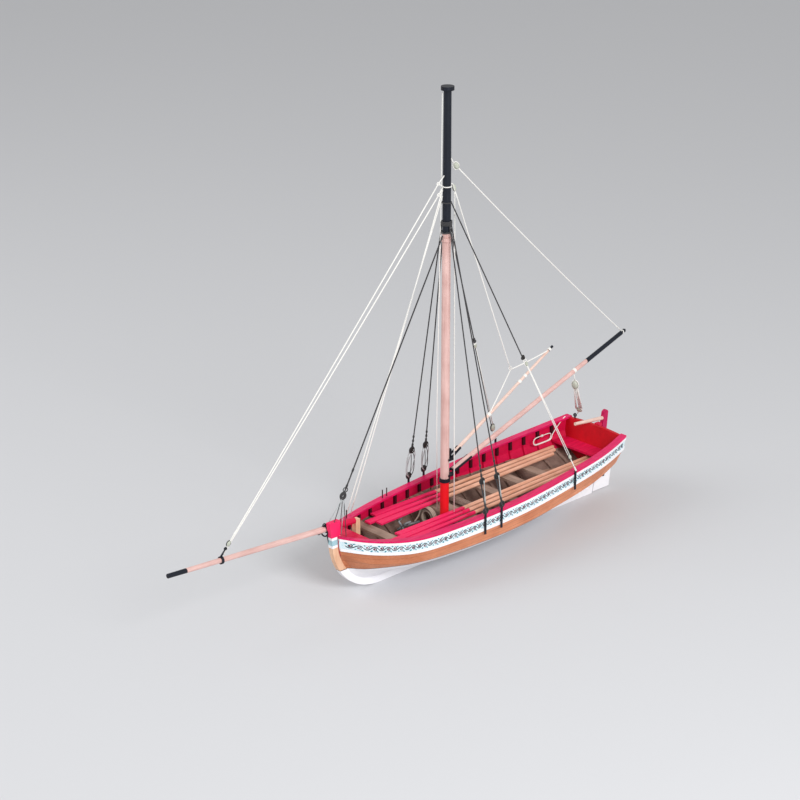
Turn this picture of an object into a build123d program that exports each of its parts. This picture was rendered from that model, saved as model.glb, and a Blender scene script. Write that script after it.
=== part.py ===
from build123d import *
from math import cos, radians, sin, tan
import os

os.makedirs("parts", exist_ok=True)

# A display model of a ship's longboat at about 1:48, open, carvel built and gaff rigged with one mast.
# X runs forward, Y to port and Z up, in millimetres. The origin is on the centreline amidships at the
# height of the painted waterline.

# Backbone
keel_bottom = -9.8
keel_depth = 3.0
keel_sided = 2.4
keel_top = keel_bottom + keel_depth
stem_centre_x = 58.0
stem_radius = 26.4
stem_head_top = 25.2
stem_head_length = 5.7
stem_head_rake = 1.1
post_foot_x = -73.4
post_rake = 9.4
post_width = 2.4
post_top = 23.4

# Hull
band_height = 5.6
garboard_half = 0.95
inner_garboard_half = 0.4
plank = 1.0
strakes_each_arc = 2
seam = 0.05
strip_gap = 0.1
frame_moulded = 1.1
frame_sided = 1.3
frame_head_drop = 0.2
frame_pitch = 8.0
frame_first_x = -68.0
frame_count = 18
cap_thickness = 0.9
cap_outboard = 0.6
cap_width = 3.3
transom_thickness = 1.5
transom_arch = 1.0

# Stations: x, half breadth at the sheer, height of the sheer, half breadth at the foot of the band,
# half breadth and height at the turn of the bilge, height of the garboard's lower edge
stations = [
    (82.0, 1.3, 17.9, 1.2, 1.05, 8.0, 3.0),
    (78.5, 5.4, 17.2, 4.6, 2.2, 8.0, 5.4),
    (74.0, 9.9, 16.4, 9.2, 4.7, 3.6, -0.5),
    (66.0, 14.4, 15.0, 13.9, 8.4, 0.8, -5.4),
    (54.0, 18.9, 13.7, 18.6, 12.4, -0.6, -6.8),
    (36.0, 22.0, 13.8, 21.9, 15.6, -1.2, -6.8),
    (14.0, 23.7, 14.4, 23.7, 17.0, -1.4, -6.8),
    (-10.0, 24.3, 15.6, 24.3, 17.2, -1.0, -6.8),
    (-36.0, 23.3, 17.7, 23.2, 15.0, 0.2, -6.8),
    (-58.0, 21.3, 19.4, 21.0, 11.4, 2.2, -6.0),
    (-72.0, 18.9, 21.1, 18.4, 8.8, 4.6, -3.5),
    (-83.0, 16.6, 22.6, 16.0, 6.6, 7.6, 0.0),
]

# Strips of the band outside the hull: name, upper and lower edge below the sheer, proud of the planking
band_strips = [
    ("upper_mouldings", 0.0, 1.1, 0.7),
    ("frieze_bands", 1.1, 4.2, 0.35),
    ("lower_mouldings", 4.2, 5.6, 0.7),
]

# Inside
thwart_top = 10.0
thwart_thickness = 1.1
riser_depth = 0.9
riser_thickness = 0.9
floor_height = -3.2
floor_thickness = 0.7
# Thwarts: name, x of the middle, width fore and aft
thwarts = [
    ("thwart_bow", 53.5, 5.0),
    ("thwart_mast", 15.5, 8.0),
    ("thwart_main", -12.0, 5.0),
    ("thwart_after", -28.0, 5.0),
    ("thwart_stroke", -42.0, 5.0),
]

# Spars
spar_sides = 16
mast_x = 18.6
mast_heel_z = floor_height + floor_thickness
mast_heel_radius = 1.9
mast_hounds_z = 134.8
mast_hounds_radius = 1.8
mast_top_z = 196.2
mast_top_radius = 1.6
mast_clearance = 0.05
cap_disc_radius = 2.75
cap_disc_thickness = 1.6
collar_z = 25.6
collar_depth = 1.6
collar_proud = 0.5
bowsprit_y = -3.0
bowsprit_heel = (68.4, 20.3)
bowsprit_tip = (166.0, 27.4)
bowsprit_heel_radius = 1.4
bowsprit_tip_radius = 0.95
gammon_setback = 2.3
traveller_x = 139.4
boom_heel = (13.6, 28.0)
boom_tip = (-95.8, 64.4)
boom_heel_radius = 1.15
boom_tip_radius = 0.95
gaff_heel = (12.6, 36.0)
gaff_tip = (-47.4, 68.7)
gaff_heel_radius = 0.8
gaff_tip_radius = 0.55
jaw_clearance = 0.35
jaw_thickness = 0.4
jaw_depth = 0.9
jaw_back = 1.0

# Rudder
pintle_offset = 0.8
rudder_gap = 0.2
rudder_sided = 1.8
rudder_head_top = 28.6
rudder_head_round = 0.8
rudder_heel_x = -87.2
rudder_heel_z = -9.5
rudder_hollow_z = 9.0
rudder_head_width = 2.7
pintle_radius = 0.35
gudgeon_clearance = 0.06
gudgeon_wall = 0.3
gudgeon_height = 1.4
gudgeon_heights = [-3.5, 12.5]
tiller_heel = (-83.6, 24.9)
tiller_tip = (-63.8, 27.2)
tiller_heel_radius = 0.9
tiller_tip_radius = 0.75

# Standing rigging
rope_sides = 8
shroud_radius = 0.27
stay_radius = 0.3
shroud_top_z = 139.0
disc_sides = 16
deadeye_radius = 1.3
deadeye_thickness = 1.2
lower_deadeye_z = 18.4
upper_deadeye_z = 31.0
# Shrouds: side, 1 to port and -1 to starboard, x of the foot, shift forward of the head
shroud_rows = [
    (1, 18.5, 0.5),
    (1, 9.2, -0.5),
    (-1, 16.2, 0.5),
    (-1, 6.7, -0.5),
]
backstay_foot_x = -37.7
backstay_top_z = 148.0
backstay_block_share = 0.56
chainplate_width = 0.9
chainplate_thickness = 0.5
chainplate_drop = 7.0
forestay_top_z = 133.0
forestay_heart = (77.1, 35.0)
heart_radius = 1.5
heart_bore = 0.7
jib_stay_heads_z = [153.8, 148.6]
light_rope_radius = 0.2
topping_lift_head = (16.3, 162.0)

# Gear
oar_loom_radius = 0.85
loom_sides = 8
oar_blade_width = 3.4
oar_blade_thickness = 0.8
oar_clearance = 0.05
# Oars: side, y of the blade's end, y of the handle's end, x of the blade's tip, x of the handle's end
oar_rows = [
    ("port", 12.2, 9.4, 58.0, -66.0),
    ("port", 8.4, 6.6, 57.0, -69.0),
    ("port", 4.9, 3.9, 51.0, -72.0),
    ("starboard", -16.6, -15.0, 45.0, -66.0),
    ("starboard", -12.6, -12.2, 52.0, -64.0),
    ("starboard", -8.6, -9.4, 49.0, -60.0),
]
blade_length = 44.0
windlass_x = 3.5
windlass_radius = 1.9
pin_radius = 0.25
pin_height = 3.7
pin_inboard = 1.3
# Pins in the starboard rail at the bow
pin_xs = [62.1, 35.6, 32.9]
warp_coil_radius = 4.6
warp_coil_depth = 2.6
warp_coil_wall = 2.3
warp_coil_centre = (21.3, -7.4, 5.25)
hank_length = 11.4
hank_height = 4.2
hank_depth = 1.0
hank_centre = (-61.0, -17.3, 15.2)


def station_plane(x):
    # A plane across the hull, with its own x to port and its own y up
    return Plane(origin=(x, 0, 0), x_dir=(0, 1, 0), z_dir=(1, 0, 0))


def at_station(x, column):
    # The value of one column between the two stations on each side of x
    for fore, aft in zip(stations, stations[1:]):
        if aft[0] <= x <= fore[0]:
            share = (fore[0] - x) / (fore[0] - aft[0])
            return fore[column] + share * (aft[column] - fore[column])
    return stations[-1][column]


def sheer_breadth(x):
    return at_station(x, 1)


def sheer_height(x):
    return at_station(x, 2)


def post_face_x(z):
    # The fore face of the raked sternpost
    return post_foot_x - (z - keel_top) * tan(radians(post_rake))


def hull_half(inset, rise, rows, fin):
    # The port half as a solid. The turn of the bilge and the floor are tangent arcs at each station,
    # and the strakes lie flat between seams at equal shares of them, faired along the boat.
    inner_bilge_half = 0.0 if fin else inner_garboard_half + 0.8
    with BuildPart() as half:
        for x, y_sheer, z_sheer, y_band, y_bilge, z_bilge, z_garboard in rows:
            lean = (y_sheer - y_band) / band_height
            top = (y_sheer - inset + lean * rise, z_sheer + rise)
            band = (y_band - inset, z_sheer - band_height)
            bilge = (max(y_bilge - 0.7 * inset, inner_bilge_half), z_bilge + 0.8 * inset)
            y_keel = garboard_half if fin else inner_garboard_half
            keel_side = (y_keel, z_garboard + 1.1 * inset)
            foot = keel_bottom if fin else z_garboard + 1.1 * inset - 0.3
            with BuildLine(mode=Mode.PRIVATE):
                topside = Line(top, band)
                turn = TangentArc(band, bilge, tangent=topside % 1)
                floor = TangentArc(bilge, keel_side, tangent=turn % 1)
            shares = [(index + 1) / strakes_each_arc for index in range(strakes_each_arc)]
            seams = [turn @ share for share in shares] + [floor @ share for share in shares]
            with BuildSketch(station_plane(x)):
                with BuildLine():
                    Polyline(top, band, *seams, (y_keel, foot), (0, foot), (0, top[1]), close=True)
                make_face()
        loft()
    return half.part


def both_sides(half):
    with BuildPart() as whole:
        add(half)
        add(half.mirror(Plane.XZ))
    return whole.part


# Solids that the hull's pieces are cut from
raised = 3.0
outer_half = hull_half(0, 0, stations, True)
plank_half = hull_half(plank, raised, stations[1:], False)
timber_full = both_sides(hull_half(plank + seam, -frame_head_drop, stations[1:], False))
inside_full = both_sides(hull_half(plank + frame_moulded, raised, stations[1:], False))
fitted_half = hull_half(plank + frame_moulded + seam, raised, stations[1:], False)
fitted_full = both_sides(fitted_half)

rabbet_radius = stem_radius - keel_depth
stem_centre_z = keel_bottom + stem_radius
far = 120.0

# Everything inside the rabbet of stem, keel and sternpost, up to the transom's fore face
with BuildPart() as rabbet_zone:
    with BuildSketch(Plane.XZ):
        with BuildLine():
            rabbet = CenterArc((stem_centre_x, stem_centre_z), rabbet_radius, 0, -90)
            Polyline(
                rabbet @ 1,
                (post_foot_x, keel_top),
                (post_face_x(far), far),
                (stem_centre_x + rabbet_radius + stem_head_rake, far),
                (stem_centre_x + rabbet_radius + stem_head_rake, stem_head_top),
                rabbet @ 0,
            )
        make_face()
    extrude(amount=far, both=True)

with BuildPart() as transom_zone:
    with BuildSketch(Plane.XZ):
        with BuildLine():
            Polyline(
                (post_face_x(-far), -far),
                (post_face_x(far), far),
                (post_face_x(far) + transom_thickness, far),
                (post_face_x(-far) + transom_thickness, -far),
                close=True,
            )
        make_face()
    extrude(amount=far, both=True)

# Keel, stem and sternpost
with BuildPart() as keel:
    with BuildSketch(Plane.XZ):
        with BuildLine():
            post_aft = post_width / cos(radians(post_rake))
            Polyline(
                (stem_centre_x, keel_bottom),
                (stem_centre_x, keel_top),
                (post_face_x(keel_top) - post_aft, keel_top),
                (post_face_x(keel_bottom) - post_aft, keel_bottom),
                close=True,
            )
        make_face()
    extrude(amount=keel_sided / 2, both=True)
keel.part.label = "keel"
export_step(keel.part, "parts/keel.step")

head_fore_x = stem_centre_x + stem_radius + stem_head_rake
head_foot_z = sheer_height(80.0) + cap_thickness
with BuildPart() as stem:
    with BuildSketch(Plane.XZ):
        with BuildLine():
            fore = CenterArc((stem_centre_x, stem_centre_z), stem_radius, -90, 90)
            Polyline(
                fore @ 1,
                (head_fore_x, stem_head_top),
                (head_fore_x - stem_head_length, stem_head_top),
                (head_fore_x - stem_head_length, head_foot_z),
                (stem_centre_x + rabbet_radius, head_foot_z),
                (stem_centre_x + rabbet_radius, stem_centre_z),
            )
            aft = CenterArc((stem_centre_x, stem_centre_z), rabbet_radius, 0, -90)
            Line(aft @ 1, fore @ 0)
        make_face()
    extrude(amount=keel_sided / 2, both=True)
stem.part.label = "stem"
export_step(stem.part, "parts/stem.step")

with BuildPart() as sternpost:
    with BuildSketch(Plane.XZ):
        with BuildLine():
            Polyline(
                (post_face_x(keel_top), keel_top),
                (post_face_x(post_top), post_top),
                (post_face_x(post_top) - post_aft, post_top),
                (post_face_x(keel_top) - post_aft, keel_top),
                close=True,
            )
        make_face()
    extrude(amount=keel_sided / 2, both=True)
sternpost.part.label = "sternpost"
export_step(sternpost.part, "parts/sternpost.step")

# Planking, one shell on each side
with BuildPart() as hull_port:
    add(outer_half)
    add(plank_half, mode=Mode.SUBTRACT)
    add(rabbet_zone.part, mode=Mode.INTERSECT)
    add(transom_zone.part, mode=Mode.SUBTRACT)
    add(stem.part, mode=Mode.SUBTRACT)
hull_port.part.label = "hull_port"
export_step(hull_port.part, "parts/hull_port.step")

with BuildPart() as hull_starboard:
    add(hull_port.part.mirror(Plane.XZ))
hull_starboard.part.label = "hull_starboard"
export_step(hull_starboard.part, "parts/hull_starboard.step")

# Transom, with an arched top
transom_x = -79.0
transom_corner_z = sheer_height(transom_x)
transom_corner_y = sheer_breadth(transom_x)
with BuildPart() as transom:
    add(both_sides(hull_half(0, raised, stations, True)))
    add(transom_zone.part, mode=Mode.INTERSECT)
    with BuildSketch(station_plane(0)):
        with BuildLine():
            ThreePointArc(
                (-transom_corner_y - 1.0, transom_corner_z),
                (0, transom_corner_z + transom_arch),
                (transom_corner_y + 1.0, transom_corner_z),
            )
            Polyline(
                (transom_corner_y + 1.0, transom_corner_z),
                (transom_corner_y + 1.0, keel_top),
                (-transom_corner_y - 1.0, keel_top),
                (-transom_corner_y - 1.0, transom_corner_z),
            )
        make_face()
    extrude(amount=far, both=True, mode=Mode.INTERSECT)
transom.part.label = "transom"
export_step(transom.part, "parts/transom.step")

# Frames, each one bent piece from rail to rail
with BuildPart() as frames:
    add(timber_full)
    add(inside_full, mode=Mode.SUBTRACT)
    with BuildSketch(Plane.XY.offset(keel_bottom)):
        for index in range(frame_count):
            with Locations((frame_first_x + index * frame_pitch, 0)):
                Rectangle(frame_sided, far)
    extrude(amount=far, mode=Mode.INTERSECT)
frames.part.label = "frames"
export_step(frames.part, "parts/frames.step")


def rail_half(outboard, width, bottom, top):
    # A strip along the sheer, its corners set from each station's sheer point
    with BuildPart() as rail:
        for x, y_sheer, z_sheer, *rest in stations:
            y_out = y_sheer + outboard
            y_in = max(y_out - width, 0.0)
            with BuildSketch(station_plane(x)):
                with BuildLine():
                    Polyline(
                        (y_in, z_sheer + bottom),
                        (y_out, z_sheer + bottom),
                        (y_out, z_sheer + top),
                        (y_in, z_sheer + top),
                        close=True,
                    )
                make_face()
        loft()
    return rail.part


with BuildPart() as cap_half:
    add(rail_half(cap_outboard, cap_width, seam, cap_thickness))
    add(rabbet_zone.part, mode=Mode.INTERSECT)
    add(stem.part, mode=Mode.SUBTRACT)
    add(transom.part, mode=Mode.SUBTRACT)
with BuildPart() as cap_rails:
    add(cap_half.part)
    add(cap_half.part.mirror(Plane.XZ))
cap_rails.part.label = "cap_rails"
export_step(cap_rails.part, "parts/cap_rails.step")


def strip_half(upper, lower, proud):
    # A strip on the outside of the band
    with BuildPart() as strip:
        for x, y_sheer, z_sheer, y_band, *rest in stations:
            lean = (y_band - y_sheer) / band_height
            y_upper = y_sheer + lean * upper
            y_lower = y_sheer + lean * lower
            with BuildSketch(station_plane(x)):
                with BuildLine():
                    Polyline(
                        (y_upper + strip_gap, z_sheer - upper),
                        (y_upper + proud, z_sheer - upper),
                        (y_lower + proud, z_sheer - lower + seam),
                        (y_lower + strip_gap, z_sheer - lower + seam),
                        close=True,
                    )
                make_face()
        loft()
        add(rabbet_zone.part, mode=Mode.INTERSECT)
    return strip.part


for name, upper, lower, proud in band_strips:
    half = strip_half(upper, lower, proud)
    with BuildPart() as strips:
        add(half)
        add(half.mirror(Plane.XZ))
    strips.part.label = name
    export_step(strips.part, "parts/" + name + ".step")


def deck_piece(x_aft, x_fore, z_low, z_high):
    # A flat piece cut to the inside of the frames
    with BuildPart() as piece:
        add(fitted_full)
        with BuildSketch(Plane.XY.offset(z_low)):
            with Locations(((x_aft + x_fore) / 2, 0)):
                Rectangle(x_fore - x_aft, far)
        extrude(amount=z_high - z_low, mode=Mode.INTERSECT)
    return piece.part


# Thwarts, with the mast's hole through its own
thwart_low = thwart_top - thwart_thickness
for name, x, width in thwarts:
    with BuildPart() as thwart:
        add(deck_piece(x - width / 2, x + width / 2, thwart_low, thwart_top))
        if name == "thwart_mast":
            with BuildSketch(Plane.XY):
                with Locations((mast_x, 0)):
                    Circle(mast_heel_radius + mast_clearance)
            extrude(amount=far, mode=Mode.SUBTRACT)
    thwart.part.label = name
    export_step(thwart.part, "parts/" + name + ".step")

# Risers that carry the thwarts
with BuildPart() as riser_half:
    for x, y_sheer, z_sheer, y_band, *rest in stations[3:11]:
        y_face = y_band - plank - frame_moulded - seam
        with BuildSketch(station_plane(x)):
            with Locations((y_face - riser_thickness / 2 + 1.0, thwart_low - riser_depth / 2)):
                Rectangle(riser_thickness + 2.0, riser_depth)
    loft()
    add(fitted_half, mode=Mode.INTERSECT)
with BuildPart() as risers:
    add(riser_half.part)
    add(riser_half.part.mirror(Plane.XZ))
risers.part.label = "risers"
export_step(risers.part, "parts/risers.step")

# Mast, stepped on the floor, planed with flats like every spar here
mast_rows = [
    (mast_heel_z, mast_heel_radius),
    (collar_z, mast_heel_radius),
    (mast_hounds_z, mast_hounds_radius),
    (mast_top_z - cap_disc_thickness, mast_top_radius),
]
with BuildPart() as mast:
    for z, radius in mast_rows:
        with BuildSketch(Plane.XY.offset(z)):
            with Locations((mast_x, 0)):
                RegularPolygon(radius, spar_sides)
    loft(ruled=True)
mast.part.label = "mast"
export_step(mast.part, "parts/mast.step")

with BuildPart() as mast_cap:
    with BuildSketch(Plane.XY.offset(mast_top_z - cap_disc_thickness)):
        with Locations((mast_x, 0)):
            RegularPolygon(cap_disc_radius, spar_sides)
    extrude(amount=cap_disc_thickness)
mast_cap.part.label = "mast_cap"
export_step(mast_cap.part, "parts/mast_cap.step")

# Iron bands round the mast: the collar under the boom and the one at the hounds
mast_taper = (mast_heel_radius - mast_hounds_radius) / (mast_hounds_z - collar_z)
band_heights = [collar_z, forestay_top_z]
with BuildPart() as mast_irons:
    for z in band_heights:
        inner_radius = mast_heel_radius - mast_taper * (z - collar_z) + 0.02
        with BuildSketch(Plane.XY.offset(z - collar_depth)):
            with Locations((mast_x, 0)):
                RegularPolygon(inner_radius + collar_proud, spar_sides)
                RegularPolygon(inner_radius, spar_sides, mode=Mode.SUBTRACT)
        extrude(amount=collar_depth)
mast_irons.part.label = "mast_irons"
export_step(mast_irons.part, "parts/mast_irons.step")


def spar(heel, tip, rows, y):
    # A tapered spar lying in a plane along the boat. Each row is a share of its length and a radius.
    run = Vector(tip[0] - heel[0], 0, tip[1] - heel[1])
    foot = Plane(origin=(heel[0], y, heel[1]), z_dir=run)
    with BuildPart() as piece:
        for share, radius in rows:
            with BuildSketch(foot.offset(share * run.length)):
                RegularPolygon(radius, spar_sides)
        loft(ruled=True)
    return piece.part


bowsprit_rows = [(0, bowsprit_heel_radius), (1, bowsprit_tip_radius)]
bowsprit = spar(bowsprit_heel, bowsprit_tip, bowsprit_rows, bowsprit_y)
bowsprit.label = "bowsprit"
export_step(bowsprit, "parts/bowsprit.step")


def bowsprit_point(x):
    share = (x - bowsprit_heel[0]) / (bowsprit_tip[0] - bowsprit_heel[0])
    z = bowsprit_heel[1] + share * (bowsprit_tip[1] - bowsprit_heel[1])
    radius = bowsprit_heel_radius + share * (bowsprit_tip_radius - bowsprit_heel_radius)
    return z, radius


def bowsprit_ring(x, wall, length, clearance):
    z, radius = bowsprit_point(x)
    slope = Vector(bowsprit_tip[0] - bowsprit_heel[0], 0, bowsprit_tip[1] - bowsprit_heel[1])
    with BuildPart() as ring:
        with BuildSketch(Plane(origin=(x, bowsprit_y, z), z_dir=slope)):
            RegularPolygon(radius + clearance + wall, spar_sides)
            RegularPolygon(radius + clearance, spar_sides, mode=Mode.SUBTRACT)
        extrude(amount=length / 2, both=True)
    return ring.part


with BuildPart() as gammon_iron:
    add(bowsprit_ring(head_fore_x - gammon_setback, 0.5, 1.6, 0.05))
    add(stem.part, mode=Mode.SUBTRACT)
gammon_iron.part.label = "gammon_iron"
export_step(gammon_iron.part, "parts/gammon_iron.step")

traveller = bowsprit_ring(traveller_x, 0.45, 1.0, 0.1)
traveller.label = "traveller"
export_step(traveller, "parts/traveller.step")

# The post that holds the bowsprit's heel
post_side = 2.4
platform_top = thwart_top - 6.0
with BuildPart() as bowsprit_post:
    with BuildSketch(Plane.XY.offset(platform_top)):
        with Locations((bowsprit_heel[0] - post_side / 2, bowsprit_y)):
            Rectangle(post_side, post_side)
    extrude(amount=bowsprit_heel[1] + 0.5 - platform_top)
    add(bowsprit, mode=Mode.SUBTRACT)
bowsprit_post.part.label = "bowsprit_post"
export_step(bowsprit_post.part, "parts/bowsprit_post.step")


def jaw_fork(height):
    # A flat fork round the mast's after side, open forward
    inner = mast_heel_radius + jaw_clearance
    outer = inner + jaw_thickness
    back = inner + jaw_back
    with BuildPart() as fork:
        with BuildSketch(Plane.XY.offset(height)):
            with Locations((mast_x - back / 2, 0)):
                Rectangle(back, 2 * outer)
            with Locations((mast_x, 0)):
                RegularPolygon(inner, spar_sides, mode=Mode.SUBTRACT, major_radius=False)
        extrude(amount=jaw_depth)
    return fork.part


# Boom and gaff, each with a thin iron fork. The boom ends in a neck and a small ball.
boom_rows = [
    (0, boom_heel_radius),
    (0.977, boom_tip_radius),
    (0.979, 0.5),
    (0.985, 0.5),
    (0.989, 0.85),
    (0.995, 0.85),
    (1, 0.4),
]
gaff_rows = [(0, gaff_heel_radius), (1, gaff_tip_radius)]
# Fitted spars: name, heel, tip, rows, height of the fork, length and thickness of the irons on the heel,
# height of the fork's back plate
fitted_spars = [
    ("boom", boom_heel, boom_tip, boom_rows, 26.6, 10.6, 0.3, jaw_depth),
    ("gaff", gaff_heel, gaff_tip, gaff_rows, 33.9, 3.0, 0.3, 4.4),
]
for name, heel, tip, rows, jaw_z, iron_length, iron_thickness, plate_height in fitted_spars:
    heel_radius = rows[0][1]
    piece = spar(heel, tip, rows, 0)
    piece.label = name
    export_step(piece, "parts/" + name + ".step")
    if name == "boom":
        boom = piece
    run = Vector(tip[0] - heel[0], 0, tip[1] - heel[1])
    reach = mast_x - mast_heel_radius - jaw_clearance - heel[0]
    side_plane = Plane(origin=(heel[0], 0, heel[1]), x_dir=run, z_dir=(0, 1, 0))
    with BuildPart() as jaws:
        add(jaw_fork(jaw_z))
        with BuildSketch(Plane.XY.offset(jaw_z)):
            with Locations((mast_x - mast_heel_radius - jaw_clearance - jaw_back / 2 - 0.1, 0)):
                Rectangle(jaw_back - 0.2, 2 * heel_radius)
        extrude(amount=plate_height)
        for side in (1, -1):
            with BuildSketch(side_plane.offset(side * (heel_radius + iron_thickness / 2))):
                with Locations(((iron_length - reach) / 2, 0)):
                    Rectangle(iron_length + reach, 1.0)
            extrude(amount=iron_thickness / 2 + 0.05, both=True)
        with BuildSketch(Plane(origin=(heel[0], 0, heel[1]), z_dir=run)):
            Rectangle(1.0, 2 * heel_radius + 2 * iron_thickness)
        extrude(amount=-0.5)
        add(piece, mode=Mode.SUBTRACT)
        with BuildSketch(Plane.XY):
            with Locations((mast_x, 0)):
                RegularPolygon(mast_heel_radius + jaw_clearance, spar_sides, major_radius=False)
        extrude(amount=far, mode=Mode.SUBTRACT)
    jaws.part.label = name + "_jaws"
    export_step(jaws.part, "parts/" + name + "_jaws.step")

# Rudder, hung on pintles aft of the sternpost
rake = radians(post_rake)
pintle_dir = Vector(-sin(rake), 0, cos(rake))


def pintle_x(z):
    return post_face_x(z) - (post_width + pintle_offset) / cos(rake)


def rudder_fore_x(z):
    return pintle_x(z) - rudder_gap / cos(rake)


with BuildPart() as rudder:
    with BuildSketch(Plane.XZ):
        with BuildLine():
            shoulder_z = rudder_head_top - rudder_head_round
            Polyline(
                (rudder_fore_x(shoulder_z), shoulder_z),
                (rudder_fore_x(rudder_heel_z), rudder_heel_z),
                (rudder_heel_x, rudder_heel_z),
                (rudder_heel_x - 1.2, 0.0),
            )
            hollow = (rudder_fore_x(rudder_hollow_z) - rudder_head_width - 1.2, rudder_hollow_z)
            ThreePointArc((rudder_heel_x - 1.2, 0.0), (rudder_heel_x - 0.9, 4.4), hollow)
            Polyline(
                hollow,
                (rudder_fore_x(shoulder_z) - rudder_head_width, shoulder_z),
                (rudder_fore_x(rudder_head_top) - rudder_head_width + rudder_head_round, rudder_head_top),
                (rudder_fore_x(rudder_head_top) - rudder_head_round, rudder_head_top),
                (rudder_fore_x(shoulder_z), shoulder_z),
            )
        make_face()
    extrude(amount=rudder_sided / 2, both=True)
    for z in gudgeon_heights:
        with BuildSketch(Plane(origin=(pintle_x(z), 0, z), z_dir=pintle_dir)):
            RegularPolygon(pintle_radius + gudgeon_clearance + gudgeon_wall + 0.37, rope_sides)
        extrude(amount=gudgeon_height + 0.5, both=True, mode=Mode.SUBTRACT)

# Tiller through the rudder's head
tiller = spar(tiller_heel, tiller_tip, [(0, tiller_heel_radius), (1, tiller_tip_radius)], 0)
tiller.label = "tiller"
export_step(tiller, "parts/tiller.step")
with BuildPart() as rudder_bored:
    add(rudder.part)
    add(tiller, mode=Mode.SUBTRACT)
rudder_bored.part.label = "rudder"
export_step(rudder_bored.part, "parts/rudder.step")

# Pintles with their straps on the rudder, and gudgeons on the post
strap_length = 6.0
strap_thickness = 0.4
with BuildPart() as rudder_irons:
    for z in gudgeon_heights:
        foot = Plane(origin=(pintle_x(z), 0, z), x_dir=(cos(rake), 0, sin(rake)), z_dir=pintle_dir)
        with BuildSketch(foot.offset(-gudgeon_height / 2 - 0.3)):
            RegularPolygon(pintle_radius, rope_sides)
        extrude(amount=gudgeon_height + 1.0)
        with BuildSketch(foot.offset(gudgeon_height / 2 + 0.15)):
            with Locations((-strap_length / 2 - rudder_gap, 0)):
                Rectangle(strap_length, rudder_sided + 2 * strap_thickness)
            with Locations((-pintle_radius, 0)):
                Rectangle(2 * pintle_radius, 2 * pintle_radius)
        extrude(amount=gudgeon_height)
    add(rudder_bored.part, mode=Mode.SUBTRACT)
rudder_irons.part.label = "rudder_irons"
export_step(rudder_irons.part, "parts/rudder_irons.step")

with BuildPart() as gudgeons:
    for z in gudgeon_heights:
        foot = Plane(origin=(pintle_x(z), 0, z), x_dir=(cos(rake), 0, sin(rake)), z_dir=pintle_dir)
        with BuildSketch(foot.offset(-gudgeon_height / 2)):
            RegularPolygon(pintle_radius + gudgeon_clearance + gudgeon_wall, disc_sides)
            with Locations((pintle_offset / 2 + 1.4, 0)):
                Rectangle(pintle_offset + 2.8, keel_sided + 2 * strap_thickness)
            RegularPolygon(pintle_radius + gudgeon_clearance, rope_sides, mode=Mode.SUBTRACT, major_radius=False)
        extrude(amount=gudgeon_height)
    add(sternpost.part, mode=Mode.SUBTRACT)
    add(transom.part, mode=Mode.SUBTRACT)
gudgeons.part.label = "gudgeons"
export_step(gudgeons.part, "parts/gudgeons.step")

# Chainplates outside the band, two for the shrouds and one for the backstay on each side
plate_feet = [(side, x) for side, x, shift in shroud_rows]
plate_feet += [(1, backstay_foot_x), (-1, backstay_foot_x)]
plate_proud = 0.95
with BuildPart() as chainplates:
    for side, x in plate_feet:
        y_face = sheer_breadth(x) + plate_proud
        z_top = sheer_height(x) + cap_thickness + 1.6
        with BuildSketch(Plane.XZ.offset(-side * y_face)):
            with Locations((x, z_top - (chainplate_drop + 2.5) / 2)):
                Rectangle(chainplate_width, chainplate_drop + 2.5)
        extrude(amount=-side * chainplate_thickness)
chainplates.part.label = "chainplates"
export_step(chainplates.part, "parts/chainplates.step")


def side_disc(x, y, z, radius, thickness):
    with BuildPart() as disc:
        with BuildSketch(Plane(origin=(x, y, z), z_dir=(0, 1, 0))):
            RegularPolygon(radius, disc_sides)
        extrude(amount=thickness / 2, both=True)
    return disc.part


def rope(start, end, radius):
    # A taut rope between two points
    run = Vector(end) - Vector(start)
    with BuildPart() as piece:
        with BuildSketch(Plane(origin=start, z_dir=run)):
            RegularPolygon(radius, rope_sides)
        extrude(amount=run.length)
    return piece.part


def along(start, end, share):
    return (Vector(start) + (Vector(end) - Vector(start)) * share)


# Shrouds between the hounds and the upper deadeyes
with BuildPart() as lower_deadeyes:
    for side, x, shift in shroud_rows:
        y = side * (sheer_breadth(x) + plate_proud + chainplate_thickness / 2)
        z = sheer_height(x) + cap_thickness + 1.6 + deadeye_radius
        add(side_disc(x, y, z, deadeye_radius, deadeye_thickness))
lower_deadeyes.part.label = "lower_deadeyes"
export_step(lower_deadeyes.part, "parts/lower_deadeyes.step")

deadeye_tops = []
with BuildPart() as upper_deadeyes:
    for side, x, shift in shroud_rows:
        foot = (x, side * (sheer_breadth(x) + plate_proud + chainplate_thickness / 2), lower_deadeye_z)
        head = (mast_x + shift, side * (mast_hounds_radius + shroud_radius + 0.1), shroud_top_z)
        share = (upper_deadeye_z - foot[2]) / (head[2] - foot[2])
        centre = along(foot, head, share)
        rope_foot = along(foot, head, share + deadeye_radius / (head[2] - foot[2]))
        deadeye_tops.append((rope_foot, head))
        add(side_disc(centre.X, centre.Y, centre.Z, deadeye_radius, deadeye_thickness))
upper_deadeyes.part.label = "upper_deadeyes"
export_step(upper_deadeyes.part, "parts/upper_deadeyes.step")

with BuildPart() as shrouds:
    for rope_foot, head in deadeye_tops:
        add(rope(rope_foot, head, shroud_radius))
    add(upper_deadeyes.part, mode=Mode.SUBTRACT)
shrouds.part.label = "shrouds"
export_step(shrouds.part, "parts/shrouds.step")

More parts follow.
